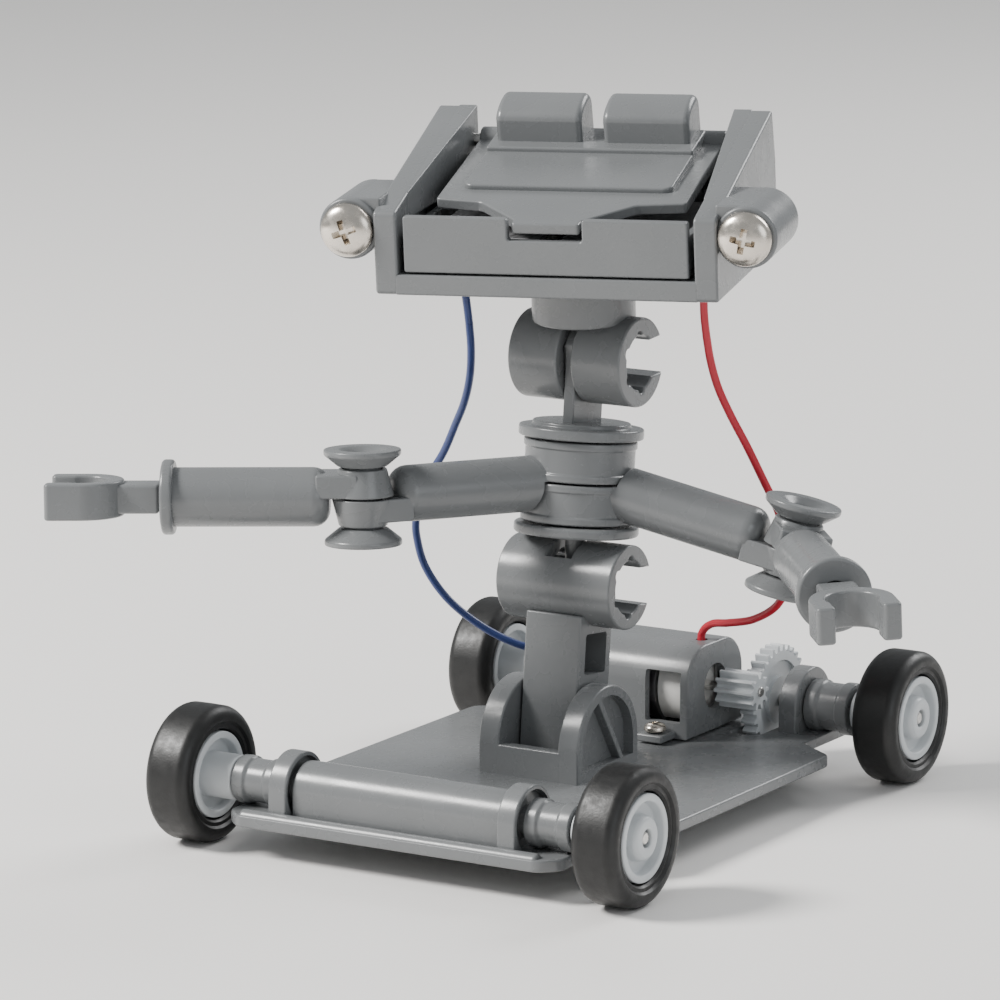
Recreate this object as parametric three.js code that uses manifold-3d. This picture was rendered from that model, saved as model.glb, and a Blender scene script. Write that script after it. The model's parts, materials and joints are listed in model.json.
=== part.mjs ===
// Small salt-water powered robot vehicle: a four-wheel chassis with a geared motor, a tilting
// waist with two clip arms, and a head that holds the power cell under a hinged lid.
// Units are millimetres. X runs along the axles, -Y is the front, Z is up.
import * as THREE from 'three';
import { mergeVertices } from 'three/addons/utils/BufferGeometryUtils.js';
import Module from 'manifold-3d';

const wasm = await Module();
wasm.setup();

// ---------------------------------------------------------------- driving dimensions

const GAP = 0.3; // clearance between pieces that touch
const RUN = 0.35; // clearance around pieces that turn
const BITE = 0.6; // how far joined shapes reach into each other
const ROUND = 20; // sides of a small round piece

const WHEEL_D = 20;
const TYRE_W = 7.2;
const TRACK = 70.6;
const WHEELBASE = 82;
const RIM_D = 12.6;
const HUB_D = 6.6;
const HUB_REACH = 3.4; // hub boss beyond the tyre's inner face
const AXLE_D = 2;

const PLATE_BASE = 4.7; // underside of the chassis plate above the ground
const PLATE_T = 1.8;
const PLATE_HALF = 31; // half width between the wheels
const NOSE_HALF = 27.6; // half width beside the front wheels
const TAIL_HALF = 24; // half width beside the rear wheels
const NOSE_REACH = 6.8; // plate in front of the front axle
const TAIL_REACH = 5; // plate behind the rear axle
const WHEEL_ROOM = 2; // plate to tyre, fore and aft

const COLLAR_X = 19; // middle of an axle collar
const COLLAR_W = 3;
const COLLAR_D = 10.4;
const AXLE_TUBE_D = 8;
const BUSH_D = 7;
const REAR_COLLAR_D = 11.4;
const REAR_BUSH_D = 8;

const EAR_IN = 5; // clevis ears: inner and outer faces
const EAR_OUT = 8.4;
const EAR_TOP = 19.6;
const EAR_SHOULDER = 10.6; // height where an ear's round top starts
const EAR_FRONT = -8.6;
const EAR_BACK = 9;
const EAR_WALL_TOP = 11;

const LEAN = THREE.MathUtils.degToRad(6); // backward lean of leg, waist and neck
const HIP_Y = 4.4;
const HIP_Z = 33.6;
const LEG_W = 9.3;
const LEG_FRONT = 5.2; // leg faces in front of and behind the hip axis
const LEG_BACK = 4;
const HIP_D = 12.5;
const HIP_HALF = 9.6;

const TBAR_D = 7.2; // cross bars that the clips hold
const CLIP_ROOM = 0.8; // a clip's bore over its cross bar
const CLIP_BORE_D = TBAR_D + CLIP_ROOM;
const CLIP_NOTCH = 0.8;
const CLIP_MOUTH = 5.4;
const STEM_D = 3;
const STEM_SLOT = 4.2;
const TILT_ROOM = THREE.MathUtils.degToRad(52); // half angle of the slot for the stem

const FLANGE_D = 18.4;
const FLANGE_T = 1.6;
const FLANGE_ROOM = 0.75; // the lower flange above the hip's clip
const FLANGE_LIFT = HIP_D / 2 + FLANGE_ROOM; // the same from the hip axis
const RING_D = 16.7;
const RING_H = 5.9;
const SPINDLE_D = 9;

const NECK_RISE = 33; // hip axis to neck axis
const NECK_D = 13.2;
const NECK_HALF = 9.4;
const TAB_T = 1.8;
const TAB_D = 10;
const NECK_PAD_D = 15.2;
const NECK_PAD_H = 6.4;

const UPPER_ARM_L = 35; // waist axis to elbow axis
const UPPER_ARM_D = 8.2;
const LEFT_DROOP = THREE.MathUtils.degToRad(4);
const RIGHT_DROOP = THREE.MathUtils.degToRad(11);
const ELBOW_D = 11.2;
const ELBOW_H = 13.9;
const ELBOW_BORE_D = 3.8;
const EYE_D = 9;
const EYE_H = 4;
const FOREARM_L = 28; // elbow axis to wrist collar
const FOREARM_D = 8.6;
const COLLAR_RIM_D = 10.9;
const COLLAR_RIM_T = 1.8;
const HAND_L = 17.4; // collar to finger tips
const HAND_W = 12;
const HAND_T = 5.3;
const HAND_WALL = 2.3;
const CENTRE_TO_TIP = 5;
const LIP_IN = 0.4; // each finger's lip over the claw's bore
const STEM_W = 5.6;
const STEM_T = 4.2;
const RIGHT_WRIST_ROLL = THREE.MathUtils.degToRad(15.5);

const LEFT_ARM_TURN = THREE.MathUtils.degToRad(238);
const RIGHT_ARM_TURN = THREE.MathUtils.degToRad(6);
const LEFT_ELBOW_TURN = THREE.MathUtils.degToRad(-30);
const RIGHT_ELBOW_TURN = THREE.MathUtils.degToRad(-55);

const HEAD_NOD = THREE.MathUtils.degToRad(4); // forward nod of the head from level
const HEAD_TURN = THREE.MathUtils.degToRad(15.5); // head turned on its neck post
const HEAD_W = 50.6;
const HEAD_FRONT = -20.2; // front face before the neck axis
const HEAD_BACK = 17;
const WING_FRONT = -13.4; // where the sides' sloping top edge starts
const WING_BACK = 15.7;
const SIDE_T = 3.4;
const RAIL_H = 3;
const SIDE_FRONT_H = 13.7;
const SIDE_BACK_H = 20.8;
const BACK_H = 13.3;
const WING_THICK = 2.4; // how much thicker a wing is at its back
const WING_FOOT = 9.8; // underside of that extra thickness above the head's underside
const PANEL_H = 8.2;
const PANEL_T = 1.6;
const NOTCH_W = 11;
const NOTCH_DEPTH = 3.2;
const LID_T = 1.6;
const BLOCK_W = 13;
const BLOCK_GAP = 3.2;
const BLOCK_H = 7.3;
const BLOCK_L = 7.6;
const BOSS_D = 9;
const BOSS_L = 15;
const SCREW_OUT = 4; // each terminal screw's axis beyond the head's side
const SCREW_SPACING = HEAD_W + SCREW_OUT * 2;
const SCREW_HEAD_D = 7.8;
const SCREW_D = 3;
const SCREW_RISE = 9.3; // screw axis above the head's underside

const GEAR_MODULE = 0.5;
const GEAR_TEETH = 32;
const PINION_TEETH = 10;
const BACKLASH = 0.2; // added to the gears' centre distance
const GEAR_W = 2.4;
const GEAR_X = 13.6; // middle of the gear
const MOTOR_RISE = 3.5; // motor axis above the axle
const MOTOR_D = 13;
const MOTOR_FLAT = 10.2;
const MOTOR_BACK_X = -12;
const MOTOR_FRONT_X = 2.4;
const END_CAP_L = 4.2;
const CAP_BOSS_H = 0.7;
const COVER_WALL = 1.3;
const COVER_LEFT = -17.5;
const COVER_RIGHT = 9.2;

const WIRE_D = 1.2;

// ---------------------------------------------------------------- derived places

const AXLE_Z = WHEEL_D / 2;
const FRONT_Y = -WHEELBASE / 2;
const REAR_Y = WHEELBASE / 2;
const PLATE_TOP = PLATE_BASE + PLATE_T;
const WHEEL_X = TRACK / 2;
const HUB_X = WHEEL_X - TYRE_W / 2 - HUB_REACH; // inner end of a hub boss
const GEAR_R = (GEAR_MODULE * GEAR_TEETH) / 2;
const PINION_R = (GEAR_MODULE * PINION_TEETH) / 2;
const CENTRES = GEAR_R + PINION_R + BACKLASH;
const MOTOR_Z = AXLE_Z + MOTOR_RISE;
const MOTOR_Y = REAR_Y - Math.sqrt(CENTRES * CENTRES - MOTOR_RISE * MOTOR_RISE);

// ---------------------------------------------------------------- finishes

const plastic = (color, roughness) => new THREE.MeshStandardMaterial({ color, roughness, metalness: 0 });
const metal = (color, roughness) => new THREE.MeshStandardMaterial({ color, roughness, metalness: 1 });
const finish = {
  grey: plastic(0x8f9396, 0.42),
  pale: plastic(0xb9bdc0, 0.4),
  rubber: plastic(0x1d1d1f, 0.7),
  white: plastic(0xe8e6e0, 0.5),
  steel: metal(0xb8b4ac, 0.3),
  magnesium: metal(0x9a9b9c, 0.55),
  carbon: plastic(0x232323, 0.85),
  felt: plastic(0xe3dfd2, 0.95),
  red: plastic(0xb01624, 0.4),
  blue: plastic(0x1c2a5c, 0.4),
};

// ---------------------------------------------------------------- shape helpers

const solid = (geometry) => {
  const bare = geometry.index ? geometry.toNonIndexed() : geometry.clone();
  bare.deleteAttribute('normal');
  bare.deleteAttribute('uv');
  const merged = mergeVertices(bare, 1e-4);
  const mesh = new wasm.Mesh({
    numProp: 3,
    vertProperties: new Float32Array(merged.attributes.position.array),
    triVerts: new Uint32Array(merged.index.array),
  });
  mesh.merge();
  return new wasm.Manifold(mesh);
};

const geometryOf = (manifold) => {
  const mesh = manifold.getMesh();
  const geometry = new THREE.BufferGeometry();
  geometry.setAttribute('position', new THREE.BufferAttribute(new Float32Array(mesh.vertProperties), 3));
  geometry.setIndex(new THREE.BufferAttribute(new Uint32Array(mesh.triVerts), 1));
  geometry.computeVertexNormals();
  return geometry;
};

const placed = (geometry, ...matrices) => {
  matrices.forEach((matrix) => geometry.applyMatrix4(matrix));
  return geometry;
};
const moved = (x, y, z) => new THREE.Matrix4().makeTranslation(x, y, z);
const basis = (a, b, c) => new THREE.Matrix4().makeBasis(
  new THREE.Vector3(...a), new THREE.Vector3(...b), new THREE.Vector3(...c));
const alongX = basis([0, 1, 0], [0, 0, 1], [1, 0, 0]);

const box = (x0, x1, y0, y1, z0, z1) => solid(placed(
  new THREE.BoxGeometry(x1 - x0, y1 - y0, z1 - z0),
  moved((x0 + x1) / 2, (y0 + y1) / 2, (z0 + z1) / 2)));

// Round bars: along X at (y, z), along Y at (x, z) and along Z at (x, y).
const barX = (d, x0, x1, y = 0, z = 0, sides = ROUND) => solid(placed(
  new THREE.CylinderGeometry(d / 2, d / 2, x1 - x0, sides),
  new THREE.Matrix4().makeRotationZ(-Math.PI / 2), moved((x0 + x1) / 2, y, z)));
const barY = (d, y0, y1, x = 0, z = 0, sides = ROUND) => solid(placed(
  new THREE.CylinderGeometry(d / 2, d / 2, y1 - y0, sides), moved(x, (y0 + y1) / 2, z)));
const barZ = (d, z0, z1, x = 0, y = 0, sides = ROUND) => solid(placed(
  new THREE.CylinderGeometry(d / 2, d / 2, z1 - z0, sides),
  new THREE.Matrix4().makeRotationX(Math.PI / 2), moved(x, y, (z0 + z1) / 2)));

const outline = (points) => new THREE.Shape(points.map(([a, b]) => new THREE.Vector2(a, b)));
const extruded = (shape, depth, curveSegments = 8) => new THREE.ExtrudeGeometry(
  shape, { depth, bevelEnabled: false, curveSegments });
// Slabs: an outline in (y, z) along X, and in (x, y) along Z.
const slabX = (shape, x0, x1) => solid(placed(extruded(shape, x1 - x0), alongX, moved(x0, 0, 0)));
const slabZ = (shape, z0, z1) => solid(placed(extruded(shape, z1 - z0), moved(0, 0, z0)));

// A turned solid from a closed profile of (radius, height) points.
const turned = (profile, sides = ROUND) => new THREE.LatheGeometry(
  [...profile, profile[0]].map(([r, h]) => new THREE.Vector2(r, h)), sides);
const turnedZ = (profile, sides = ROUND) => solid(placed(
  turned(profile, sides), new THREE.Matrix4().makeRotationX(Math.PI / 2)));

const roundedRect = (x0, x1, y0, y1, r) => {
  const shape = new THREE.Shape();
  shape.moveTo(x0 + r, y0);
  shape.lineTo(x1 - r, y0);
  shape.absarc(x1 - r, y0 + r, r, -Math.PI / 2, 0);
  shape.lineTo(x1, y1 - r);
  shape.absarc(x1 - r, y1 - r, r, 0, Math.PI / 2);
  shape.lineTo(x0 + r, y1);
  shape.absarc(x0 + r, y1 - r, r, Math.PI / 2, Math.PI);
  shape.lineTo(x0, y0 + r);
  shape.absarc(x0 + r, y0 + r, r, Math.PI, Math.PI * 1.5);
  return shape;
};

// A pad that stands on the plate with a rounded top over a bar at (y, z).
const arch = (y, z, r, foot) => {
  const shape = new THREE.Shape();
  shape.moveTo(y - r, foot);
  shape.lineTo(y + r, foot);
  shape.lineTo(y + r, z);
  shape.absarc(y, z, r, 0, Math.PI);
  return shape;
};

const robot = new THREE.Group();
const addGroup = (parent, x = 0, y = 0, z = 0) => {
  const group = new THREE.Group();
  group.position.set(x, y, z);
  parent.add(group);
  return group;
};
const addPiece = (parent, name, shape, material) => {
  const geometry = shape.isBufferGeometry ? shape : geometryOf(shape);
  const mesh = new THREE.Mesh(geometry, material);
  mesh.name = name;
  parent.add(mesh);
  return mesh;
};

// ---------------------------------------------------------------- chassis plate

const chassis = addGroup(robot);
const wheelGapY = WHEELBASE / 2 - WHEEL_D / 2 - WHEEL_ROOM;
const plateFront = FRONT_Y - NOSE_REACH;
const plateBack = REAR_Y + TAIL_REACH;
const NOSE_CHAMFER = 2.6;
const STEP_R = 2.5;
const LIP_D = 2.5; // rounded front edge

const plateOutline = () => {
  const side = [
    [NOSE_HALF - NOSE_CHAMFER, plateFront],
    [NOSE_HALF, plateFront + NOSE_CHAMFER],
    [NOSE_HALF, -wheelGapY - STEP_R],
    [PLATE_HALF, -wheelGapY + STEP_R],
    [PLATE_HALF, wheelGapY - STEP_R],
    [TAIL_HALF, wheelGapY + STEP_R],
    [TAIL_HALF, plateBack],
  ];
  const mirrored = side.map(([x, y]) => [-x, y]).reverse();
  return outline([...side, ...mirrored]);
};

const EAR_RIM = 1.5;
const EAR_RECESS = 1.6;
const EAR_RIB_T = 1.1;
const earArch = (inset, foot) => {
  const middle = (EAR_FRONT + EAR_BACK) / 2;
  const reach = (EAR_BACK - EAR_FRONT) / 2 - inset;
  const shape = new THREE.Shape();
  shape.moveTo(middle - reach, foot);
  shape.lineTo(middle + reach, foot);
  shape.lineTo(middle + reach, EAR_SHOULDER);
  shape.absellipse(middle, EAR_SHOULDER, reach, EAR_TOP - EAR_SHOULDER - inset, 0, Math.PI);
  return shape;
};
// The rib leans back across an ear's recess.
const earRib = () => outline([
  [EAR_FRONT + 5.6, EAR_TOP - 1], [EAR_FRONT + 5.6 + EAR_RIB_T, EAR_TOP - 0.9],
  [EAR_BACK - 3, PLATE_TOP], [EAR_BACK - 3 - EAR_RIB_T, PLATE_TOP],
]);

const gearSlot = { half: GEAR_W / 2 + 1.1, reach: GEAR_R + 1.6 };
const collarSpan = [COLLAR_X - COLLAR_W / 2, COLLAR_X + COLLAR_W / 2];
const SPIGOT_D = 4.6; // bushes plug into the collars
const COLLAR_LIP_D = 9.2; // the front collars are sunk round the axle on their right faces
const COLLAR_SINK = 1.2;
const CRADLE_W = 7;

const chassisPlate = () => {
  let body = slabZ(plateOutline(), PLATE_BASE, PLATE_TOP);
  // Rounded lip along the front edge.
  body = body.add(barX(LIP_D, -NOSE_HALF + NOSE_CHAMFER, NOSE_HALF - NOSE_CHAMFER,
    plateFront + LIP_D / 2, PLATE_BASE + LIP_D / 2, 16));
  [-1, 1].forEach((side) => {
    const [near, far] = collarSpan.map((x) => x * side).sort((a, b) => a - b);
    body = body.add(slabX(arch(FRONT_Y, AXLE_Z, COLLAR_D / 2, PLATE_BASE + BITE), near, far));
    body = body.add(slabX(arch(REAR_Y, AXLE_Z, REAR_COLLAR_D / 2, PLATE_BASE + BITE), near, far));
    body = body.subtract(barX(SPIGOT_D + GAP * 2, near - 1, far + 1, FRONT_Y, AXLE_Z));
    body = body.subtract(barX(SPIGOT_D + GAP * 2, near - 1, far + 1, REAR_Y, AXLE_Z));
    body = body.subtract(barX(COLLAR_LIP_D, far - COLLAR_SINK, far + 1, FRONT_Y, AXLE_Z));
    // Room for the bushes, which reach below the plate's top.
    const bushX = side > 0 ? [far, PLATE_HALF + 1] : [-PLATE_HALF - 1, near];
    body = body.subtract(barX(BUSH_D + GAP * 2, bushX[0], bushX[1], FRONT_Y, AXLE_Z));
    body = body.subtract(barX(REAR_BUSH_D + GAP * 2, bushX[0], bushX[1], REAR_Y, AXLE_Z));
    const [earNear, earFar] = [EAR_IN * side, EAR_OUT * side].sort((a, b) => a - b);
    body = body.add(slabX(earArch(0, PLATE_BASE + BITE), earNear, earFar));
    const face = EAR_OUT * side;
    const floor = (EAR_OUT - EAR_RECESS) * side;
    const outwards = (EAR_OUT + 1) * side;
    const [cutNear, cutFar] = [floor, outwards].sort((a, b) => a - b);
    body = body.subtract(slabX(earArch(EAR_RIM, PLATE_TOP + EAR_RIM), cutNear, cutFar));
    const [ribNear, ribFar] = [floor - BITE * side, face].sort((a, b) => a - b);
    body = body.add(slabX(earRib(), ribNear, ribFar));
  });
  // Low wall between the ears, in front of the leg.
  body = body.add(box(-EAR_IN - BITE, EAR_IN + BITE, EAR_FRONT, EAR_FRONT + 2,
    PLATE_BASE + BITE, EAR_WALL_TOP));
  // Slot for the driven gear, and the cradle under the motor.
  body = body.subtract(box(GEAR_X - gearSlot.half, GEAR_X + gearSlot.half,
    REAR_Y - gearSlot.reach, plateBack + 1, PLATE_BASE - 1, PLATE_TOP + 0.01));
  body = body.add(box(MOTOR_BACK_X + 1, MOTOR_FRONT_X - 1, MOTOR_Y - CRADLE_W / 2, MOTOR_Y + CRADLE_W / 2,
    PLATE_BASE + BITE, MOTOR_Z - MOTOR_FLAT / 2 - GAP));
  return body;
};
addPiece(chassis, 'chassis_plate', chassisPlate(), finish.grey);

// ---------------------------------------------------------------- axles, bushes and wheels

const axleCover = () => {
  const half = COLLAR_X - COLLAR_W / 2 - GAP;
  return slabX(arch(FRONT_Y, AXLE_Z, AXLE_TUBE_D / 2, PLATE_TOP + GAP), -half, half)
    .subtract(barX(AXLE_D + RUN * 2, -half - 1, half + 1, FRONT_Y, AXLE_Z, 16));
};
addPiece(chassis, 'front_axle_cover', axleCover(), finish.grey);

// A bush: ribbed sleeve outside the collar with a spigot inside it.
const bush = (side, y, d) => {
  const inner = COLLAR_X - COLLAR_W / 2 + 0.2;
  const face = COLLAR_X + COLLAR_W / 2 + GAP;
  const end = HUB_X - RUN;
  const bore = AXLE_D / 2 + RUN;
  const rib = 0.35;
  const groove = d / 2 - rib;
  const step = (end - face) / 4;
  const profile = [
    [bore, inner], [SPIGOT_D / 2, inner], [SPIGOT_D / 2, face],
    [d / 2, face], [d / 2, face + step], [groove, face + step + rib],
    [groove, face + step * 3 - rib], [d / 2, face + step * 3], [d / 2, end], [bore, end],
  ];
  const shape = turned(profile);
  const turn = new THREE.Matrix4().makeRotationZ((-Math.PI / 2) * side);
  return geometryOf(solid(placed(shape, turn, moved(0, y, AXLE_Z))));
};

const wheelNames = (end, side) => `${end}_${side < 0 ? 'left' : 'right'}`;
const TYRE_BORE = RIM_D / 2 + GAP;
const SHOULDER = 1.7;
const tyreProfile = () => {
  const half = TYRE_W / 2;
  const r = WHEEL_D / 2;
  const points = [[TYRE_BORE, -half], [r - SHOULDER - 0.6, -half]];
  const steps = 2;
  for (let i = 0; i <= steps; i += 1) {
    const angle = (i / steps) * (Math.PI / 2);
    points.push([r - SHOULDER + SHOULDER * Math.sin(angle), -half + SHOULDER * (1 - Math.cos(angle))]);
  }
  const other = points.map(([radius, h]) => [radius, -h]).reverse();
  return [...points, ...other];
};
const RIM_EDGE = 1.1;
const RIM_WEB = 1.6;
const HUB_PROUD = 0.3;
const rimProfile = () => {
  const half = TYRE_W / 2 - 0.4;
  const bore = AXLE_D / 2 + GAP;
  const rimIn = RIM_D / 2 - RIM_EDGE;
  const out = half + HUB_PROUD;
  return [
    [bore, -HUB_REACH - TYRE_W / 2], [HUB_D / 2, -HUB_REACH - TYRE_W / 2], [HUB_D / 2, -RIM_WEB],
    [rimIn, -RIM_WEB], [rimIn, -half], [RIM_D / 2, -half], [RIM_D / 2, half], [rimIn, half],
    [rimIn, RIM_WEB], [HUB_D / 2, RIM_WEB], [HUB_D / 2, out - 0.5], [HUB_D / 2 - 0.5, out], [bore, out],
  ];
};
const WHEEL_SIDES = 28;
const mountedWheel = (profile, side, y) => {
  const turn = new THREE.Matrix4().makeRotationZ((-Math.PI / 2) * side);
  return geometryOf(solid(placed(turned(profile, WHEEL_SIDES), turn, moved(WHEEL_X * side, y, AXLE_Z))));
};

const AXLE_END = WHEEL_X + TYRE_W / 2 - 0.4;
[['front', FRONT_Y, BUSH_D], ['rear', REAR_Y, REAR_BUSH_D]].forEach(([end, y, bushD]) => {
  [-1, 1].forEach((side) => {
    addPiece(chassis, `${wheelNames(end, side)}_bush`, bush(side, y, bushD), finish.grey);
    addPiece(chassis, `${wheelNames(end, side)}_tyre`, mountedWheel(tyreProfile(), side, y), finish.rubber);
    addPiece(chassis, `${wheelNames(end, side)}_rim`, mountedWheel(rimProfile(), side, y), finish.pale);
  });
  addPiece(chassis, `${end}_axle`, barX(AXLE_D, -AXLE_END, AXLE_END, y, AXLE_Z, 16), finish.steel);
});

// ---------------------------------------------------------------- gear train

// Straight-flanked teeth: [share of the pitch at this radius] from root to tip.
const gearOutline = (teeth, phase) => {
  const pitchR = (GEAR_MODULE * teeth) / 2;
  const rootR = pitchR - GEAR_MODULE * 1.05;
  const tipR = pitchR + GEAR_MODULE * 0.8;
  const pitch = (Math.PI * 2) / teeth;
  const rootShare = 0.3;
  const tipShare = 0.13;
  const points = [];
  for (let i = 0; i < teeth; i += 1) {
    const middle = phase + i * pitch;
    [[rootR, -rootShare], [tipR, -tipShare], [tipR, tipShare], [rootR, rootShare]].forEach(([r, share]) => {
      const angle = middle + share * pitch;
      points.push([r * Math.cos(angle), r * Math.sin(angle)]);
    });
  }
  return points;
};
// Angle of the line from the axle to the motor, in the (y, z) plane.
const meshAngle = Math.atan2(MOTOR_Z - AXLE_Z, MOTOR_Y - REAR_Y);
const GEAR_HUB_D = 5.4;
const drivenGear = () => {
  const rim = outline(gearOutline(GEAR_TEETH, meshAngle).map(([a, b]) => [a + REAR_Y, b + AXLE_Z]));
  return slabX(rim, GEAR_X - GEAR_W / 2, GEAR_X + GEAR_W / 2)
    .add(barX(GEAR_HUB_D, GEAR_X - GEAR_W / 2 - 1.6, GEAR_X + BITE, REAR_Y, AXLE_Z, 20))
    .subtract(barX(AXLE_D + GAP * 2, GEAR_X - 8, GEAR_X + 8, REAR_Y, AXLE_Z, 16));
};
addPiece(chassis, 'driven_gear', drivenGear(), finish.pale);

const SHAFT_D = 1.5;
const PINION_OVER = 2; // pinion wider than the gear on each side
const motorPinion = () => {
  const phase = meshAngle + Math.PI + Math.PI / PINION_TEETH;
  const rim = outline(gearOutline(PINION_TEETH, phase).map(([a, b]) => [a + MOTOR_Y, b + MOTOR_Z]));
  const near = GEAR_X - GEAR_W / 2 - PINION_OVER;
  const far = GEAR_X + GEAR_W / 2 + PINION_OVER;
  return slabX(rim, near, far).subtract(barX(SHAFT_D + GAP * 2, near - 1, far + 1, MOTOR_Y, MOTOR_Z, 16));
};
addPiece(chassis, 'motor_pinion', motorPinion(), finish.pale);

const SHAFT_IN = MOTOR_FRONT_X - 6;
const SHAFT_OUT = GEAR_X + GEAR_W / 2 + PINION_OVER + 0.4;
addPiece(chassis, 'motor_shaft', barX(SHAFT_D, SHAFT_IN, SHAFT_OUT, MOTOR_Y, MOTOR_Z, 16), finish.steel);

const flattened = (bar, half) => bar.intersect(box(-40, 40, MOTOR_Y - 20, MOTOR_Y + 20,
  MOTOR_Z - half, MOTOR_Z + half));
const motorCan = () => flattened(barX(MOTOR_D, MOTOR_BACK_X, MOTOR_FRONT_X, MOTOR_Y, MOTOR_Z), MOTOR_FLAT / 2)
  .subtract(barX(SHAFT_D + RUN * 2, SHAFT_IN - 1, MOTOR_FRONT_X + 1, MOTOR_Y, MOTOR_Z, 16));
addPiece(chassis, 'motor_can', motorCan(), finish.steel);
const motorEndCap = () => {
  const x0 = MOTOR_FRONT_X + GAP;
  return flattened(barX(MOTOR_D - 0.6, x0, x0 + END_CAP_L, MOTOR_Y, MOTOR_Z), MOTOR_FLAT / 2 - 0.2)
    .add(barX(5, x0, x0 + END_CAP_L + CAP_BOSS_H, MOTOR_Y, MOTOR_Z, 20))
    .subtract(barX(SHAFT_D + RUN * 2, x0 - 1, x0 + END_CAP_L + 2, MOTOR_Y, MOTOR_Z, 16));
};
addPiece(chassis, 'motor_end_cap', motorEndCap(), finish.white);

// Terminals: flat tags on the end cap's outer face, above the shaft's boss.
const TAG_T = 0.4;
const TAG_W = 1.6;
const tagX = MOTOR_FRONT_X + GAP + END_CAP_L + GAP;
const tags = { front: MOTOR_Y - 4.2, rear: MOTOR_Y + 4.2 };
Object.entries(tags).forEach(([name, y]) => {
  addPiece(chassis, `${name}_motor_terminal`,
    box(tagX, tagX + TAG_T, y - TAG_W / 2, y + TAG_W / 2, MOTOR_Z - 1.2, MOTOR_Z + 3.2), finish.steel);
});

// ---------------------------------------------------------------- motor cover

const COVER_HALF = MOTOR_D / 2 + 0.6 + COVER_WALL;
const COVER_RISE = MOTOR_FLAT / 2 + 0.5 + COVER_WALL; // axis to the top outside
const COVER_R = 5.4;
const FOOT_H = 1.2;
const SCREW_HOLE_D = 2.2;
const SHAFT_HOLE_D = 7; // wider than the pinion, so the cover lifts off over it
const coverScrewsX = [COVER_LEFT + 2.2, COVER_RIGHT - 4.4];
const coverScrewY = MOTOR_Y - COVER_HALF - 2.2;
const wireHoleX = COVER_RIGHT - 2.4;
const coverShell = () => {
  const foot = PLATE_TOP + GAP;
  const section = (half, rise, r, base) => {
    const shape = new THREE.Shape();
    shape.moveTo(MOTOR_Y - half, base);
    shape.lineTo(MOTOR_Y + half, base);
    shape.lineTo(MOTOR_Y + half, MOTOR_Z + rise - r);
    shape.absarc(MOTOR_Y + half - r, MOTOR_Z + rise - r, r, 0, Math.PI / 2);
    shape.lineTo(MOTOR_Y - half + r, MOTOR_Z + rise);
    shape.absarc(MOTOR_Y - half + r, MOTOR_Z + rise - r, r, Math.PI / 2, Math.PI);
    return shape;
  };
  const inner = section(COVER_HALF - COVER_WALL, COVER_RISE - COVER_WALL, COVER_R - COVER_WALL, foot - 1);
  let body = slabX(section(COVER_HALF, COVER_RISE, COVER_R, foot), COVER_LEFT, COVER_RIGHT);
  // Screw feet in front of the cover.
  [COVER_LEFT + 2.2, COVER_RIGHT - 4.4].forEach((x) => {
    body = body.add(box(x - 2.2, x + 2.2, MOTOR_Y - COVER_HALF - 4.2, MOTOR_Y - COVER_HALF + BITE,
      foot, foot + FOOT_H));
  });
  body = body.subtract(slabX(inner, COVER_LEFT + COVER_WALL, COVER_RIGHT - COVER_WALL));
  body = body.subtract(barX(SHAFT_HOLE_D, COVER_RIGHT - 3, COVER_RIGHT + 1, MOTOR_Y, MOTOR_Z));
  // Room for the rear axle, which a larger motor's cover would reach.
  body = body.subtract(barX(AXLE_D + RUN * 2, COVER_LEFT - 1, COVER_RIGHT + 1, REAR_Y, AXLE_Z));
  // Window over the motor's end cap, on the front.
  body = body.subtract(box(MOTOR_FRONT_X - 0.6, COVER_RIGHT - 1.4, MOTOR_Y - COVER_HALF - 1,
    MOTOR_Y - 3, MOTOR_Z - 4.4, MOTOR_Z + 3.4));
  coverScrewsX.forEach((x) => {
    body = body.subtract(barZ(SCREW_HOLE_D, foot - 1, foot + FOOT_H + 1, x, coverScrewY, 14));
  });
  // Lead holes through the top.
  body = body.subtract(barZ(WIRE_D + GAP * 2, MOTOR_Z, MOTOR_Z + 20, wireHoleX, MOTOR_Y, 12));
  body = body.subtract(barX(WIRE_D + GAP * 2, COVER_LEFT - 1, COVER_LEFT + COVER_WALL + 1,
    MOTOR_Y, 15.5, 12));
  return body;
};
addPiece(chassis, 'motor_cover', coverShell(), finish.grey);

['left', 'right'].forEach((side, index) => {
  const x = coverScrewsX[index];
  const y = coverScrewY;
  const top = PLATE_TOP + GAP + FOOT_H + GAP;
  const screw = barZ(3.4, top, top + 1.3, x, y, 16)
    .subtract(box(x - 1.1, x + 1.1, y - 0.2, y + 0.2, top + 0.7, top + 2))
    .subtract(box(x - 0.2, x + 0.2, y - 1.1, y + 1.1, top + 0.7, top + 2));
  addPiece(chassis, `cover_screw_${side}`, screw, finish.steel);
});

// ---------------------------------------------------------------- leg

const leaning = (group) => {
  group.rotation.x = -LEAN;
  return group;
};
// The leg's own frame: origin on the hip axis, Z along the leaning leg.
const leg = leaning(addGroup(chassis, 0, HIP_Y, HIP_Z));

// A wedge in (y, z) that opens from the axis, between two angles from +Y towards +Z.
const wedge = (from, to, reach) => {
  const shape = new THREE.Shape();
  shape.moveTo(0, 0);
  shape.absarc(0, 0, reach, from, to);
  shape.lineTo(0, 0);
  return shape;
};
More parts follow.
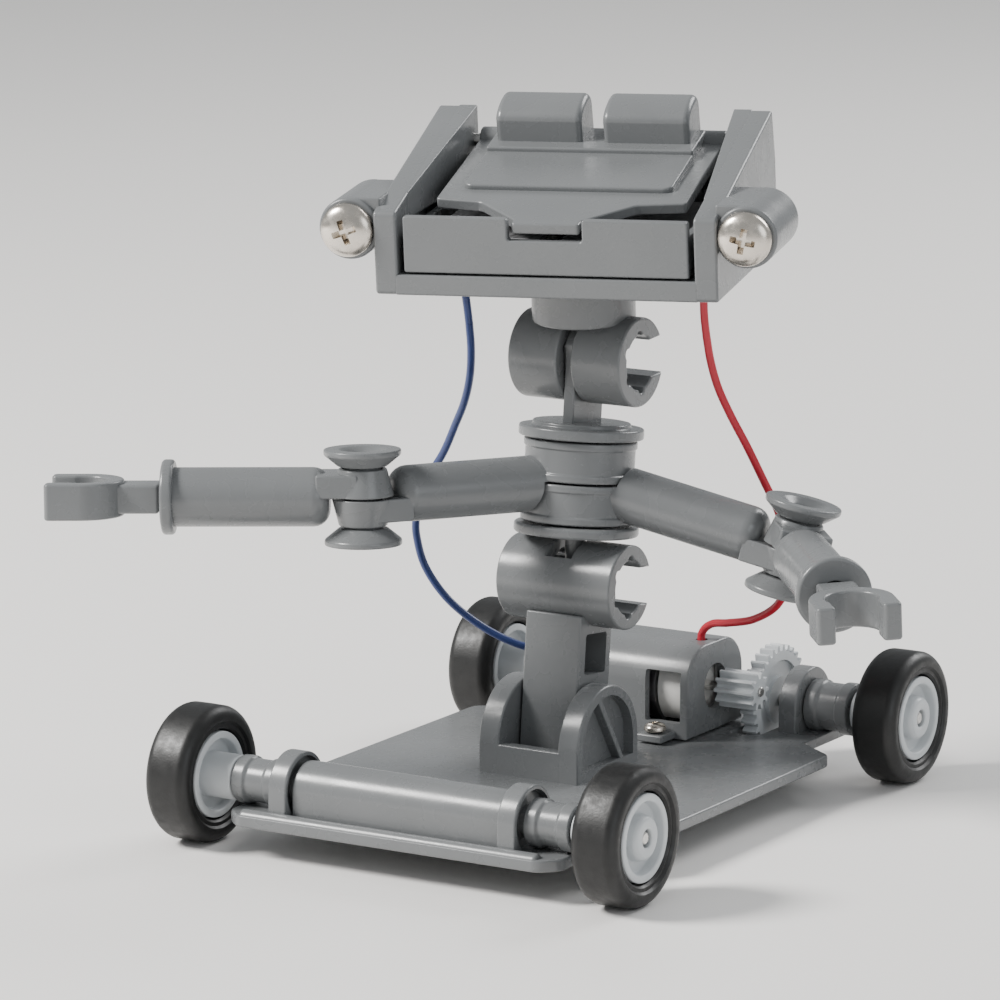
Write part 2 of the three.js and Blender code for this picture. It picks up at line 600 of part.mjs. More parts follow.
// The inside of a clip: a bore with notches and a mouth that opens to the rear.
const NOTCHES = 6;
const clipBore = (x0, x1, reach) => {
  let cut = barX(CLIP_BORE_D, x0, x1, 0, 0, 24);
  for (let i = 0; i < NOTCHES; i += 1) {
    const angle = (i + 0.5) * ((Math.PI * 2) / NOTCHES);
    const r = CLIP_BORE_D / 2 - 0.2;
    cut = cut.add(barX(CLIP_NOTCH * 2, x0, x1, r * Math.cos(angle), r * Math.sin(angle), 10));
  }
  return cut.add(box(x0, x1, 0, reach, -CLIP_MOUTH / 2, CLIP_MOUTH / 2));
};

const LEG_SPLIT = -4.6; // where the column meets the barrel, below the hip axis
const WINDOW = { front: -3.4, back: 2.6, bottom: -13.2, top: -7.2, depth: 5 };
const legColumn = () => {
  const foot = -(HIP_Z - PLATE_TOP - GAP) / Math.cos(LEAN);
  let body = box(-LEG_W / 2, LEG_W / 2, -LEG_FRONT, LEG_BACK, foot - 2, LEG_SPLIT);
  body = body.add(barX(HIP_D, -HIP_HALF, HIP_HALF));
  body = body.subtract(clipBore(-HIP_HALF - 1, HIP_HALF + 1, HIP_D));
  // Slot for the waist's stem.
  body = body.subtract(slabX(wedge(Math.PI / 2 - TILT_ROOM, Math.PI / 2 + TILT_ROOM, HIP_D),
    -STEM_SLOT / 2, STEM_SLOT / 2));
  body = body.subtract(box(LEG_W / 2 - WINDOW.depth, LEG_W, WINDOW.front, WINDOW.back,
    WINDOW.bottom, WINDOW.top));
  // Level foot that rests on the plate.
  const floor = box(-20, 20, -30, 30, -30, 0);
  const level = floor.rotate([THREE.MathUtils.radToDeg(LEAN), 0, 0])
    .translate([0, 0, foot]);
  return body.subtract(level);
};
addPiece(leg, 'leg_column', legColumn(), finish.grey);

// ---------------------------------------------------------------- torso

// The torso's frame has its origin on the hip axis too; every height is along the lean.
const torso = leaning(addGroup(robot, 0, HIP_Y, HIP_Z));
const flangeTop = FLANGE_LIFT + FLANGE_T;
const lowerRing = [flangeTop + GAP, flangeTop + GAP + RING_H];
const upperRing = [lowerRing[1] + GAP, lowerRing[1] + GAP + RING_H];
const capBase = upperRing[1] + GAP;
const RIDGES = 6;
const RIDGE_D = 0.7;

// A cross bar with small ridges along it, which click in the clip's notches.
const crossBar = (half) => {
  let bar = barX(TBAR_D - RIDGE_D, -half, half, 0, 0, 24);
  for (let i = 0; i < RIDGES; i += 1) {
    const angle = (i + 0.5) * ((Math.PI * 2) / RIDGES);
    const r = (TBAR_D - RIDGE_D) / 2 - 0.1;
    bar = bar.add(barX(RIDGE_D, -half, half, r * Math.cos(angle), r * Math.sin(angle), 8));
  }
  return bar;
};
const BAR_INSET = 5.4; // cross bars end inside the clips
const SPIGOT_TOP = capBase + FLANGE_T * 0.6;
const CAP_PEG_D = 5;
const waistBase = () => crossBar(HIP_HALF - BAR_INSET)
  .add(barZ(STEM_D, 0, FLANGE_LIFT + BITE, 0, 0, 16))
  .add(barZ(FLANGE_D, FLANGE_LIFT, flangeTop, 0, 0, 36))
  .add(barZ(SPINDLE_D, flangeTop - BITE, upperRing[1], 0, 0, 24))
  .add(barZ(CAP_PEG_D, upperRing[1] - BITE, SPIGOT_TOP, 0, 0, 18));
addPiece(torso, 'waist_base', waistBase(), finish.grey);

const CAP_STEP_D = 14.5;
const waistCap = () => {
  const tabFoot = capBase + FLANGE_T;
  let body = barZ(FLANGE_D, capBase, capBase + FLANGE_T, 0, 0, 36)
    .add(barZ(CAP_STEP_D, capBase + FLANGE_T - BITE, capBase + FLANGE_T + 0.7, 0, 0, 32));
  const tab = barX(TAB_D, -TAB_T / 2, TAB_T / 2, 0, NECK_RISE)
    .add(box(-TAB_T / 2, TAB_T / 2, -TAB_D / 2 + 0.8, TAB_D / 2 - 0.8, tabFoot - BITE, NECK_RISE));
  body = body.add(tab);
  body = body.add(crossBar(NECK_HALF - BAR_INSET).translate([0, 0, NECK_RISE]));
  return body.subtract(barZ(CAP_PEG_D + GAP * 2, capBase - 1, SPIGOT_TOP + GAP, 0, 0, 18));
};
addPiece(torso, 'waist_cap', waistCap(), finish.grey);

// ---------------------------------------------------------------- arms

// An upper arm in the torso's frame turns about Z. Its tube leaves the ring along +X and
// droops; the elbow axis stands square to the tube.
const EYE_ROOM = 0.4;
const PIN_D = 5.4;
const armMiddle = (lowerRing[1] + upperRing[0]) / 2;
const upperArm = (ring, side, droopAngle) => {
  const [base, top] = ring;
  let body = barZ(RING_D, base, top, 0, 0, 36);
  const droop = THREE.MathUtils.radToDeg(droopAngle);
  const tube = barX(UPPER_ARM_D, RING_D / 2 - 3, UPPER_ARM_L - EYE_D / 2 + 1, 0, 0)
    .rotate([0, droop, 0]).translate([0, 0, armMiddle]);
  body = body.add(tube);
  // Room for the other arm's ring and for the flanges.
  const other = side > 0 ? [top + 0.001, top + GAP + RING_H + GAP] : [base - GAP * 2 - RING_H, base - 0.001];
  body = body.subtract(barZ(RING_D + EYE_ROOM * 2, other[0], other[1], 0, 0, 36));
  body = body.subtract(barZ(FLANGE_D + EYE_ROOM * 2, FLANGE_LIFT - 1, flangeTop + GAP, 0, 0, 36));
  body = body.subtract(barZ(FLANGE_D + EYE_ROOM * 2, capBase - GAP, capBase + 4, 0, 0, 36));
  const half = EYE_H + GAP / 2;
  // Lower eye, and room above it for the forearm's eye.
  let eye = barZ(EYE_D, -half, -GAP / 2).add(box(-EYE_D / 2 - 2, 0, -UPPER_ARM_D / 2 + 0.4,
    UPPER_ARM_D / 2 - 0.4, -half + 0.6, -GAP / 2));
  eye = eye.translate([UPPER_ARM_L, 0, 0]).rotate([0, droop, 0]).translate([0, 0, armMiddle]);
  let room = barZ(EYE_D + EYE_ROOM * 2, -GAP / 2, half + 3);
  room = room.add(barZ(ELBOW_D + EYE_ROOM * 2, -half - 6, -half - GAP));
  room = room.add(barZ(PIN_D + GAP * 2, -half - 2, half + 2, 0, 0, 20));
  room = room.translate([UPPER_ARM_L, 0, 0]).rotate([0, droop, 0]).translate([0, 0, armMiddle]);
  return body.add(eye).subtract(room)
    .subtract(barZ(SPINDLE_D + RUN * 2, base - 1, top + 1, 0, 0, 24));
};

// The elbow pin: a hollow rivet with conical ends, in a frame on the elbow axis.
const elbowPin = () => {
  const half = ELBOW_H / 2;
  const face = EYE_H + GAP / 2 + GAP;
  const bore = ELBOW_BORE_D / 2;
  const waist = EYE_D / 2;
  return turnedZ([
    [bore, -half], [ELBOW_D / 2, -half], [ELBOW_D / 2, -half + 0.8], [waist, -face], [PIN_D / 2, -face],
    [PIN_D / 2, face], [waist, face], [ELBOW_D / 2, half - 0.8], [ELBOW_D / 2, half], [bore, half],
  ]);
};

// The forearm runs along +X from the elbow axis to its wrist collar.
const WRIST_BORE_D = 4.4;
const WRIST_PEG_D = 3.8;
const WRIST_PEG_L = 5;
const forearm = () => {
  const half = EYE_H + GAP / 2;
  const clear = EYE_D / 2 + EYE_ROOM;
  let body = barX(FOREARM_D, EYE_D / 2 - 1, FOREARM_L - COLLAR_RIM_T / 2 + BITE, 0, 0);
  body = body.add(barX(COLLAR_RIM_D, FOREARM_L - COLLAR_RIM_T / 2, FOREARM_L + COLLAR_RIM_T / 2));
  body = body.add(barZ(EYE_D, GAP / 2, half)).add(box(0, EYE_D / 2 + 2, -FOREARM_D / 2 + 0.4,
    FOREARM_D / 2 - 0.4, GAP / 2, half - 0.6));
  body = body.subtract(barZ(clear * 2, -half - 3, GAP / 2));
  body = body.subtract(barZ(ELBOW_D + EYE_ROOM * 2, half + GAP, half + 6));
  body = body.subtract(barZ(PIN_D + GAP * 2, -half - 2, half + 2, 0, 0, 20));
  return body.subtract(barX(WRIST_BORE_D, FOREARM_L - WRIST_PEG_L - GAP, FOREARM_L + 3, 0, 0, 16));
};

// The hand: a peg in the forearm, a flat stem, and a C-shaped claw that opens forward.
const hand = () => {
  const face = FOREARM_L + COLLAR_RIM_T / 2 + GAP;
  const tip = FOREARM_L + HAND_L;
  const centre = tip - CENTRE_TO_TIP;
  const inner = HAND_W / 2 - HAND_WALL;
  let claw = barZ(HAND_W, -HAND_T / 2, HAND_T / 2, centre, 0, 32)
    .add(box(centre, tip, -HAND_W / 2, HAND_W / 2, -HAND_T / 2, HAND_T / 2));
  claw = claw.subtract(barZ(inner * 2, -HAND_T, HAND_T, centre, 0, 28));
  claw = claw.subtract(box(centre, tip + 1, -inner + LIP_IN, inner - LIP_IN, -HAND_T, HAND_T));
  const stem = box(face, centre - inner - 0.4, -STEM_W / 2, STEM_W / 2, -STEM_T / 2, STEM_T / 2);
  const peg = barX(WRIST_PEG_D, FOREARM_L - WRIST_PEG_L, face + BITE, 0, 0, 16);
  return claw.add(stem).add(peg);
};

const arm = (name, side, ring, turn, droop, elbowTurn, wristRoll) => {
  const shoulder = addGroup(torso);
  shoulder.rotation.z = turn;
  addPiece(shoulder, `${name}_upper_arm`, upperArm(ring, side, droop), finish.grey);
  const drooped = addGroup(shoulder, 0, 0, armMiddle);
  drooped.rotation.y = droop;
  const elbow = addGroup(drooped, UPPER_ARM_L, 0, 0);
  addPiece(elbow, `${name}_elbow_pin`, elbowPin(), finish.grey);
  const swing = addGroup(elbow);
  swing.rotation.z = elbowTurn;
  addPiece(swing, `${name}_forearm`, forearm(), finish.grey);
  addPiece(swing, `${name}_hand`, hand(), finish.grey).rotation.x = wristRoll;
};
arm('left', -1, upperRing, LEFT_ARM_TURN, LEFT_DROOP, LEFT_ELBOW_TURN, 0);
arm('right', 1, lowerRing, RIGHT_ARM_TURN, RIGHT_DROOP, RIGHT_ELBOW_TURN, RIGHT_WRIST_ROLL);

// ---------------------------------------------------------------- neck and head

// The head's frame: origin on the neck axis, nodded forward and turned.
const neckPoint = new THREE.Vector3(0, NECK_RISE * Math.sin(LEAN), NECK_RISE * Math.cos(LEAN));
neckPoint.add(new THREE.Vector3(0, HIP_Y, HIP_Z));
const neck = addGroup(robot, neckPoint.x, neckPoint.y, neckPoint.z);
neck.rotation.x = HEAD_NOD;
const head = addGroup(neck);
head.rotation.z = HEAD_TURN;

const CLIP_IN = TAB_T / 2 + GAP;
const PAD_LOW = TAB_D / 2 + 0.7;
const padTop = NECK_D / 2 + NECK_PAD_H;
const NECK_PEG_D = 5;
const neckBracket = () => {
  let body = barX(NECK_D, -NECK_HALF, -CLIP_IN).add(barX(NECK_D, CLIP_IN, NECK_HALF));
  body = body.add(barZ(NECK_PAD_D, PAD_LOW, padTop, 0, 0, 32));
  body = body.subtract(clipBore(-NECK_HALF - 1, NECK_HALF + 1, NECK_D));
  return body.add(barZ(NECK_PEG_D, padTop - BITE, padTop + GAP + RAIL_H * 0.6, 0, 0, 16));
};
addPiece(neck, 'neck_bracket', neckBracket(), finish.grey);

const floorZ = padTop + GAP; // underside of the head
const sideOutline = () => outline([
  [HEAD_FRONT, floorZ], [HEAD_BACK, floorZ], [HEAD_BACK, floorZ + BACK_H],
  [WING_BACK, floorZ + SIDE_BACK_H], [WING_FRONT, floorZ + SIDE_FRONT_H],
  [HEAD_FRONT, floorZ + SIDE_FRONT_H - 1.6],
]);
const sideIn = HEAD_W / 2 - SIDE_T;
const screwZ = floorZ + SCREW_RISE;
const bossX = SCREW_SPACING / 2;
const HINGE_D = 2;
const hingeY = HEAD_BACK - 2.4;
const hingeZ = floorZ + BACK_H + 2.4;
const BACK_T = 1.6;
const SCREW_L = 8;
const leadX = 18.5; // lead holes in the head's floor
const leadY = -1;
const headFrame = () => {
  let body = slabX(sideOutline(), -HEAD_W / 2, -sideIn).add(slabX(sideOutline(), sideIn, HEAD_W / 2));
  body = body.add(box(-sideIn - BITE, sideIn + BITE, HEAD_FRONT, HEAD_BACK, floorZ, floorZ + RAIL_H));
  body = body.add(box(-sideIn - BITE, sideIn + BITE, HEAD_BACK - BACK_T, HEAD_BACK,
    floorZ, floorZ + BACK_H));
  [-1, 1].forEach((side) => {
    const near = Math.min(side * (HEAD_W / 2 - BITE), side * bossX);
    const far = Math.max(side * (HEAD_W / 2 - BITE), side * bossX);
    body = body.add(barY(BOSS_D, HEAD_FRONT + 1.2, HEAD_FRONT + BOSS_L, side * bossX, screwZ));
    body = body.add(box(near, far, HEAD_FRONT + 2, HEAD_FRONT + BOSS_L, screwZ - 2.2, screwZ + BOSS_D / 2));
    body = body.subtract(barY(SCREW_D + GAP * 2, HEAD_FRONT, HEAD_FRONT + SCREW_L + 1,
      side * bossX, screwZ, 16));
  });
  [-1, 1].forEach((side) => {
    const plan = outline([
      [side * (sideIn + BITE), WING_FRONT], [side * sideIn, WING_FRONT],
      [side * (sideIn - WING_THICK), WING_BACK], [side * (sideIn + BITE), WING_BACK],
    ]);
    const above = slabZ(plan, floorZ + WING_FOOT, floorZ + SIDE_BACK_H + 1);
    body = body.add(slabX(sideOutline(), -HEAD_W / 2, HEAD_W / 2).intersect(above));
  });
  body = body.subtract(barX(HINGE_D + GAP * 2, -HEAD_W, HEAD_W, hingeY, hingeZ, 14));
  body = body.subtract(barZ(NECK_PEG_D + GAP * 2, floorZ - 1, floorZ + RAIL_H * 0.6 + GAP, 0, 0, 16));
  // Lead holes through the floor.
  [-1, 1].forEach((side) => {
    body = body.subtract(barZ(WIRE_D + GAP * 2, floorZ - 1, floorZ + RAIL_H + 1, side * leadX, leadY, 12));
  });
  return body;
};
addPiece(head, 'head_frame', headFrame(), finish.grey);

// Cell tray with its front panel; the lid's tongue latches in the panel's notch.
const trayFloor = floorZ + RAIL_H + GAP;
const trayHalf = sideIn - 0.9;
const TRAY_WALL = 1.2;
const trayBack = HEAD_BACK - BACK_T - 3;
const TRAY_H = 6;
const cellTray = () => {
  let body = box(-trayHalf, trayHalf, HEAD_FRONT + 0.3, HEAD_FRONT + 0.3 + PANEL_T,
    trayFloor, trayFloor + PANEL_H);
  body = body.add(box(-trayHalf, trayHalf, HEAD_FRONT + 0.5, trayBack, trayFloor, trayFloor + TRAY_WALL));
  [-trayHalf, trayHalf - TRAY_WALL].forEach((x) => {
    body = body.add(box(x, x + TRAY_WALL, HEAD_FRONT + 0.5, trayBack, trayFloor, trayFloor + TRAY_H));
  });
  const trayTop = trayFloor + TRAY_H;
  body = body.add(box(-TRAY_WALL / 2, TRAY_WALL / 2, HEAD_FRONT + 0.5, trayBack, trayFloor, trayTop));
  body = body.add(box(-trayHalf, trayHalf, trayBack - TRAY_WALL, trayBack, trayFloor, trayTop));
  return body.subtract(box(-NOTCH_W / 2, NOTCH_W / 2, HEAD_FRONT - 1, HEAD_FRONT + 0.3 + PANEL_T + 0.6,
    trayFloor + PANEL_H - NOTCH_DEPTH, trayFloor + PANEL_H + 1));
};
addPiece(head, 'cell_tray', cellTray(), finish.grey);

// Two cells side by side: carbon plate, felt pad and magnesium plate in a stack.
const cellStack = [['carbon_plate', 0.8, finish.carbon], ['felt_pad', 1.2, finish.felt],
  ['magnesium_plate', 0.6, finish.magnesium]];
[['left', -1], ['right', 1]].forEach(([name, side]) => {
  let level = trayFloor + TRAY_WALL + GAP;
  const ends = [TRAY_WALL / 2 + GAP, trayHalf - TRAY_WALL - GAP].map((x) => x * side).sort((a, b) => a - b);
  cellStack.forEach(([piece, thick, material], i) => {
    const inset = 0.3 * i;
    addPiece(head, `${name}_${piece}`, box(ends[0] + inset, ends[1] - inset,
      HEAD_FRONT + 0.3 + PANEL_T + GAP + 0.6 + inset, trayBack - TRAY_WALL - GAP - inset,
      level, level + thick), material);
    level += thick + GAP;
  });
});

// Lid: a sloping plate with a stepped shelf, a tongue at the front and two blocks at the rear.
const lid = addGroup(head, 0, hingeY, hingeZ);
const lidHalf = sideIn - WING_THICK - 0.9;
const TONGUE_W = NOTCH_W - 1;
const tongueY = HEAD_FRONT + 0.3 - hingeY;
const LID_FALL = 5.3; // the lid's front edge below its hinge
const lidPlate = () => {
  const front = HEAD_FRONT + 3.4 - hingeY;
  const shoulder = front + 5;
  const plan = outline([
    [-TONGUE_W / 2, tongueY], [TONGUE_W / 2, tongueY], [TONGUE_W / 2, front - 1.4], [lidHalf - 7, shoulder],
    [lidHalf, shoulder + 1], [lidHalf, 1.4], [-lidHalf, 1.4], [-lidHalf, shoulder + 1],
    [-lidHalf + 7, shoulder], [-TONGUE_W / 2, front - 1.4],
  ]);
  const slope = Math.atan2(LID_FALL, -front) * (180 / Math.PI);
  let body = slabZ(plan, -LID_T / 2, LID_T / 2);
  const raised = roundedRect(-lidHalf + 3, lidHalf - 3, shoulder + 4.6, 1.2, 1.4);
  body = body.add(slabZ(raised, LID_T / 2 - 0.2, LID_T / 2 + 0.8));
  const blockBack = 1.4;
  const blockFront = blockBack - BLOCK_L;
  const rise = BLOCK_H + LID_T / 2;
  const round = BLOCK_L * 0.4;
  const blockSide = new THREE.Shape();
  blockSide.moveTo(blockFront, 0);
  blockSide.lineTo(blockBack, 0);
  blockSide.lineTo(blockBack, rise - round);
  blockSide.absarc(blockBack - round, rise - round, round, 0, Math.PI / 2);
  blockSide.absarc(blockFront + round, rise - round, round, Math.PI / 2, Math.PI);
  [-1, 1].forEach((side) => {
    const [near, far] = [BLOCK_GAP / 2, BLOCK_GAP / 2 + BLOCK_W].map((x) => x * side).sort((a, b) => a - b);
    body = body.add(slabX(blockSide, near, far));
  });
  body = body.rotate([slope, 0, 0]);
  return body.add(barX(4, -lidHalf, lidHalf, 0, 0, 20))
    .subtract(barX(HINGE_D + GAP * 2, -HEAD_W, HEAD_W, 0, 0, 14));
};
addPiece(lid, 'cell_lid', lidPlate(), finish.grey);
const hingePin = barX(HINGE_D, -HEAD_W / 2 + 0.4, HEAD_W / 2 - 0.4, hingeY, hingeZ, 14);
addPiece(head, 'lid_hinge_pin', hingePin, finish.steel);

// Terminal screws and the ring terminals under their heads.
[['left', -1], ['right', 1]].forEach(([name, side]) => {
  const headY = HEAD_FRONT + 1.2 - GAP;
  const screwX = side * bossX;
  const reach = SCREW_HEAD_D / 2;
  const dome = turned([
    [0.001, 0], [reach, 0], [reach, 0.7], [reach - 0.8, 1.7], [reach - 2, 2.2], [0.001, 2.4],
  ]);
  const upright = new THREE.Matrix4().makeRotationX(Math.PI);
  const screw = solid(placed(dome, upright, moved(screwX, headY, screwZ)))
    .add(barY(SCREW_D, headY - BITE, HEAD_FRONT + SCREW_L, screwX, screwZ, 16))
    .subtract(box(screwX - 2.5, screwX + 2.5, headY - 4, headY - 1.2, screwZ - 0.6, screwZ + 0.6))
    .subtract(box(screwX - 0.6, screwX + 0.6, headY - 4, headY - 1.2, screwZ - 2.5, screwZ + 2.5));
  addPiece(head, `${name}_terminal_screw`, screw, finish.steel);
});

// ---------------------------------------------------------------- leads

// Each lead runs from the head's floor to the motor in three lengths, joined end to end:
// beside the head, beside the neck and beside the waist.
const LEAD_SIDES = 8;
const LEAD_STEP = 2.4;
const leadPoints = {
  red: [
    [[18.2, 10.6, 78.4], [18.1, 10.8, 76], [18, 11.2, 73.4], [18, 11.8, 70.6]],
    [[18, 11.9, 70.3], [18.2, 12.8, 66.6], [18.8, 14, 62.6], [20, 15.6, 58.4], [21.8, 17.4, 53.6],
      [23.5, 19.1, 48.7], [25, 20.7, 44.2], [25.7, 21.7, 40.6]],
    [
      [25.8, 21.8, 40.3], [26, 22.8, 36.8], [25.4, 24, 33], [22.4, 25.8, 28.4], [17.6, 27.4, 25.4],
      [12.6, 28.8, 24], [9, 30, 23.2], [wireHoleX, MOTOR_Y, 21.4], [wireHoleX, MOTOR_Y, 18.9],
    ],
  ],
  blue: [
    [[-18, 2.8, 78.4], [-17.8, 3, 76], [-17.6, 3.4, 73.4], [-17.6, 4, 70.6]],
    [[-17.6, 4.1, 70.3], [-18, 5.2, 66.4], [-19.2, 6.8, 62], [-21.4, 8.8, 57.6], [-24.4, 11, 53.4],
      [-27.7, 13.1, 48.7], [-31.2, 14.6, 44.4], [-33.4, 15.7, 41]],
    [
      [-33.6, 15.8, 40.7], [-34.9, 16.7, 37.4], [-35.4, 17.6, 34], [-34.8, 19.2, 29], [-32.2, 21.6, 23.8],
      [-28.2, 25, 19.4], [-23.6, 28, 16.6], [-19.6, MOTOR_Y, 15.6], [COVER_LEFT + 2, MOTOR_Y, 15.4],
    ],
  ],
};
const lead = (points) => {
  const curve = new THREE.CatmullRomCurve3(points.map((p) => new THREE.Vector3(...p)), false, 'centripetal');
  const section = new THREE.Shape();
  for (let i = 0; i < LEAD_SIDES; i += 1) {
    const angle = (i / LEAD_SIDES) * Math.PI * 2;
    const method = i ? 'lineTo' : 'moveTo';
    section[method]((WIRE_D / 2) * Math.cos(angle), (WIRE_D / 2) * Math.sin(angle));
  }
  const steps = Math.max(4, Math.round(curve.getLength() / LEAD_STEP));
  return new THREE.ExtrudeGeometry(section, { steps, extrudePath: curve, bevelEnabled: false });
};
Object.entries(leadPoints).forEach(([colour, lengths]) => {
  ['top', 'middle', 'bottom'].forEach((part, i) => {
    addPiece(robot, `${colour}_lead_${part}`, geometryOf(solid(lead(lengths[i]))), finish[colour]);
  });
});

// Origin under the middle of everything but the leads, on the ground.
robot.updateMatrixWorld(true);
const bounds = new THREE.Box3();
robot.traverse((node) => {
  if (node.isMesh && !node.name.includes('_lead_')) bounds.expandByObject(node, true);
});
robot.position.set(-(bounds.min.x + bounds.max.x) / 2, -(bounds.min.y + bounds.max.y) / 2, -bounds.min.z);

export default robot;
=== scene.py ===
"""Looks of a small geared robot vehicle with clip arms and a lidded wet-cell head.

Every piece is drawn in millimetres in the frame of the joint that it sits on and is then
placed in metres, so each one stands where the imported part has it.
"""

import json
import math

import bmesh
import bpy
from mathutils import Matrix, Vector


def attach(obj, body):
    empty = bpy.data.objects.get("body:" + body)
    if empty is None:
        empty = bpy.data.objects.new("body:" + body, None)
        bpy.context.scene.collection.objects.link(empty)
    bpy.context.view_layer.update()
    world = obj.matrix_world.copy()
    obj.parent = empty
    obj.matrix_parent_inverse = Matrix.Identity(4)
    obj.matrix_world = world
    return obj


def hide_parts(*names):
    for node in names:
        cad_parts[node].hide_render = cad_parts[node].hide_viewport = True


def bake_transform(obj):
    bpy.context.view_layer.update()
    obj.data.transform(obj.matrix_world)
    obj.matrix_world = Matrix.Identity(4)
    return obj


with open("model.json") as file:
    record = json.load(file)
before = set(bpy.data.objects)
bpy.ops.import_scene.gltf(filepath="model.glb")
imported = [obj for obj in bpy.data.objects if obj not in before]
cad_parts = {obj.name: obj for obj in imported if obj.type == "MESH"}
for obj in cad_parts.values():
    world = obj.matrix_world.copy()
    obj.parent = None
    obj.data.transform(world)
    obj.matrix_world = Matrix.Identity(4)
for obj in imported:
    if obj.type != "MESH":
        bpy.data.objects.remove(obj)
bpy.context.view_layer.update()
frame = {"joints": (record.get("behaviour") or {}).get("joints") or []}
joints = {joint["name"]: joint for joint in frame["joints"]}

MM = 0.001
X, Y, Z = Vector((1, 0, 0)), Vector((0, 1, 0)), Vector((0, 0, 1))

# ------------------------------------------------------------------ sizes, in millimetres

GAP = 0.3
WHEEL_D, TYRE_W, TRACK, WHEELBASE = 20, 7.2, 70.6, 82
RIM_D, HUB_D, HUB_REACH, AXLE_D = 12.6, 6.6, 3.4, 2
AXLE_Z = WHEEL_D / 2
FRONT_Y, REAR_Y = -WHEELBASE / 2, WHEELBASE / 2
WHEEL_X = TRACK / 2

PLATE_BASE, PLATE_TOP = 4.7, 6.5
PLATE_HALF, NOSE_HALF, TAIL_HALF = 31, 27.6, 24
PLATE_FRONT, PLATE_BACK = FRONT_Y - 6.8, REAR_Y + 5
WHEEL_GAP_Y = WHEELBASE / 2 - WHEEL_D / 2 - 2
COLLAR_IN, COLLAR_OUT = 17.5, 20.5
FRONT_COLLAR_D, REAR_COLLAR_D, COLLAR_LIP_D, COLLAR_SINK = 10.4, 11.4, 9.2, 1.2
FRONT_BUSH_D, REAR_BUSH_D = 7, 8
AXLE_TUBE_D = 8

EAR_IN, EAR_OUT, EAR_TOP = 5, 8.4, 19.6
EAR_FRONT, EAR_BACK, EAR_SHOULDER = -8.6, 9, 10.6
EAR_RIM, EAR_RECESS, EAR_RIB_T = 1.5, 1.6, 1.1

HIP_Z, HIP_D, HIP_HALF = 33.6, 12.5, 9.6
LEAN = 6
LEG_W, LEG_FRONT, LEG_BACK = 9.3, 5.2, 4
WINDOW_FRONT, WINDOW_BACK, WINDOW_LOW, WINDOW_HIGH, WINDOW_DEPTH = -3.4, 2.6, -13.2, -7.2, 5
BORE_D, MOUTH = 8, 5.4
BAR_D, BAR_INSET = 7.2, 5.4
FLANGE_D, FLANGE_T, FLANGE_LIFT = 18.4, 1.6, 7
RING_D, RING_H, SPINDLE_D = 16.7, 5.9, 9
NECK_RISE, NECK_D, NECK_HALF, NECK_PAD_D, NECK_PAD_H = 33, 13.2, 9.4, 15.2, 6.4
STEM_D, PEG_D = 3, 5

UPPER_ARM_L, UPPER_ARM_D = 35, 8.2
ELBOW_D, ELBOW_H, ELBOW_BORE_D = 11.2, 13.9, 3.8
EYE_D, EYE_TIP_D, EYE_H, PIN_D = 9, 7, 4, 5.4
FOREARM_L, FOREARM_D = 28, 8.6
RIM_COLLAR_D, RIM_COLLAR_T = 10.9, 1.8
HAND_L, HAND_W, HAND_T, HAND_WALL, CLAW_BACK = 17.4, 12, 5.3, 2.3, 5
HAND_STEM_W, HAND_STEM_T = 5.6, 4.2
WRIST_ROLL = {"left": 0, "right": 15.5}

HEAD_W, HEAD_FRONT, HEAD_BACK, SIDE_T = 50.6, -20.2, 17, 3.4
HEAD_FLOOR = NECK_D / 2 + NECK_PAD_H + GAP
RAIL_H, SIDE_FRONT_H, SIDE_BACK_H, BACK_H = 3, 13.7, 20.8, 13.3
SCREW_X, SCREW_Z, SCREW_D, SCREW_HEAD_D = HEAD_W / 2 + 4, HEAD_FLOOR + 9.3, 3, 7.8
BOSS_D, BOSS_L, BOSS_SET_BACK = 9, 15, 1.2
HINGE_D, BARREL_D = 2, 4
HINGE_Y, HINGE_Z = HEAD_BACK - 2.4, HEAD_FLOOR + BACK_H + 2.4
LID_FALL = 5.3

GEAR_MODULE, GEAR_TEETH, PINION_TEETH = 0.5, 32, 10
GEAR_X, GEAR_W, PINION_OVER = 13.6, 2.4, 2
MOTOR_D, MOTOR_FLAT = 13, 10.2
MOTOR_BACK_X, MOTOR_FRONT_X, END_CAP_L, CAP_BOSS_H = -12, 2.4, 4.2, 0.7
COVER_LEFT, COVER_RIGHT, COVER_WALL, SHAFT_HOLE_D = -17.5, 9.2, 1.3, 7
WIRE_D = 1.2

# ------------------------------------------------------------------ frames


def joint_point(name):
    return Vector(joints[name]["pos_m"])


def joint_axis(name):
    return Vector(joints[name]["axis"]).normalized()


def placed_on(origin, x_axis, z_axis):
    """Millimetres in a frame with that origin, X and Z, to metres in the row frame."""
    x_axis = x_axis.normalized()
    z_axis = (z_axis - z_axis.dot(x_axis) * x_axis).normalized()
    turn = Matrix((x_axis, z_axis.cross(x_axis), z_axis)).transposed().to_4x4()
    return Matrix.Translation(origin) @ turn @ Matrix.Scale(MM, 4)


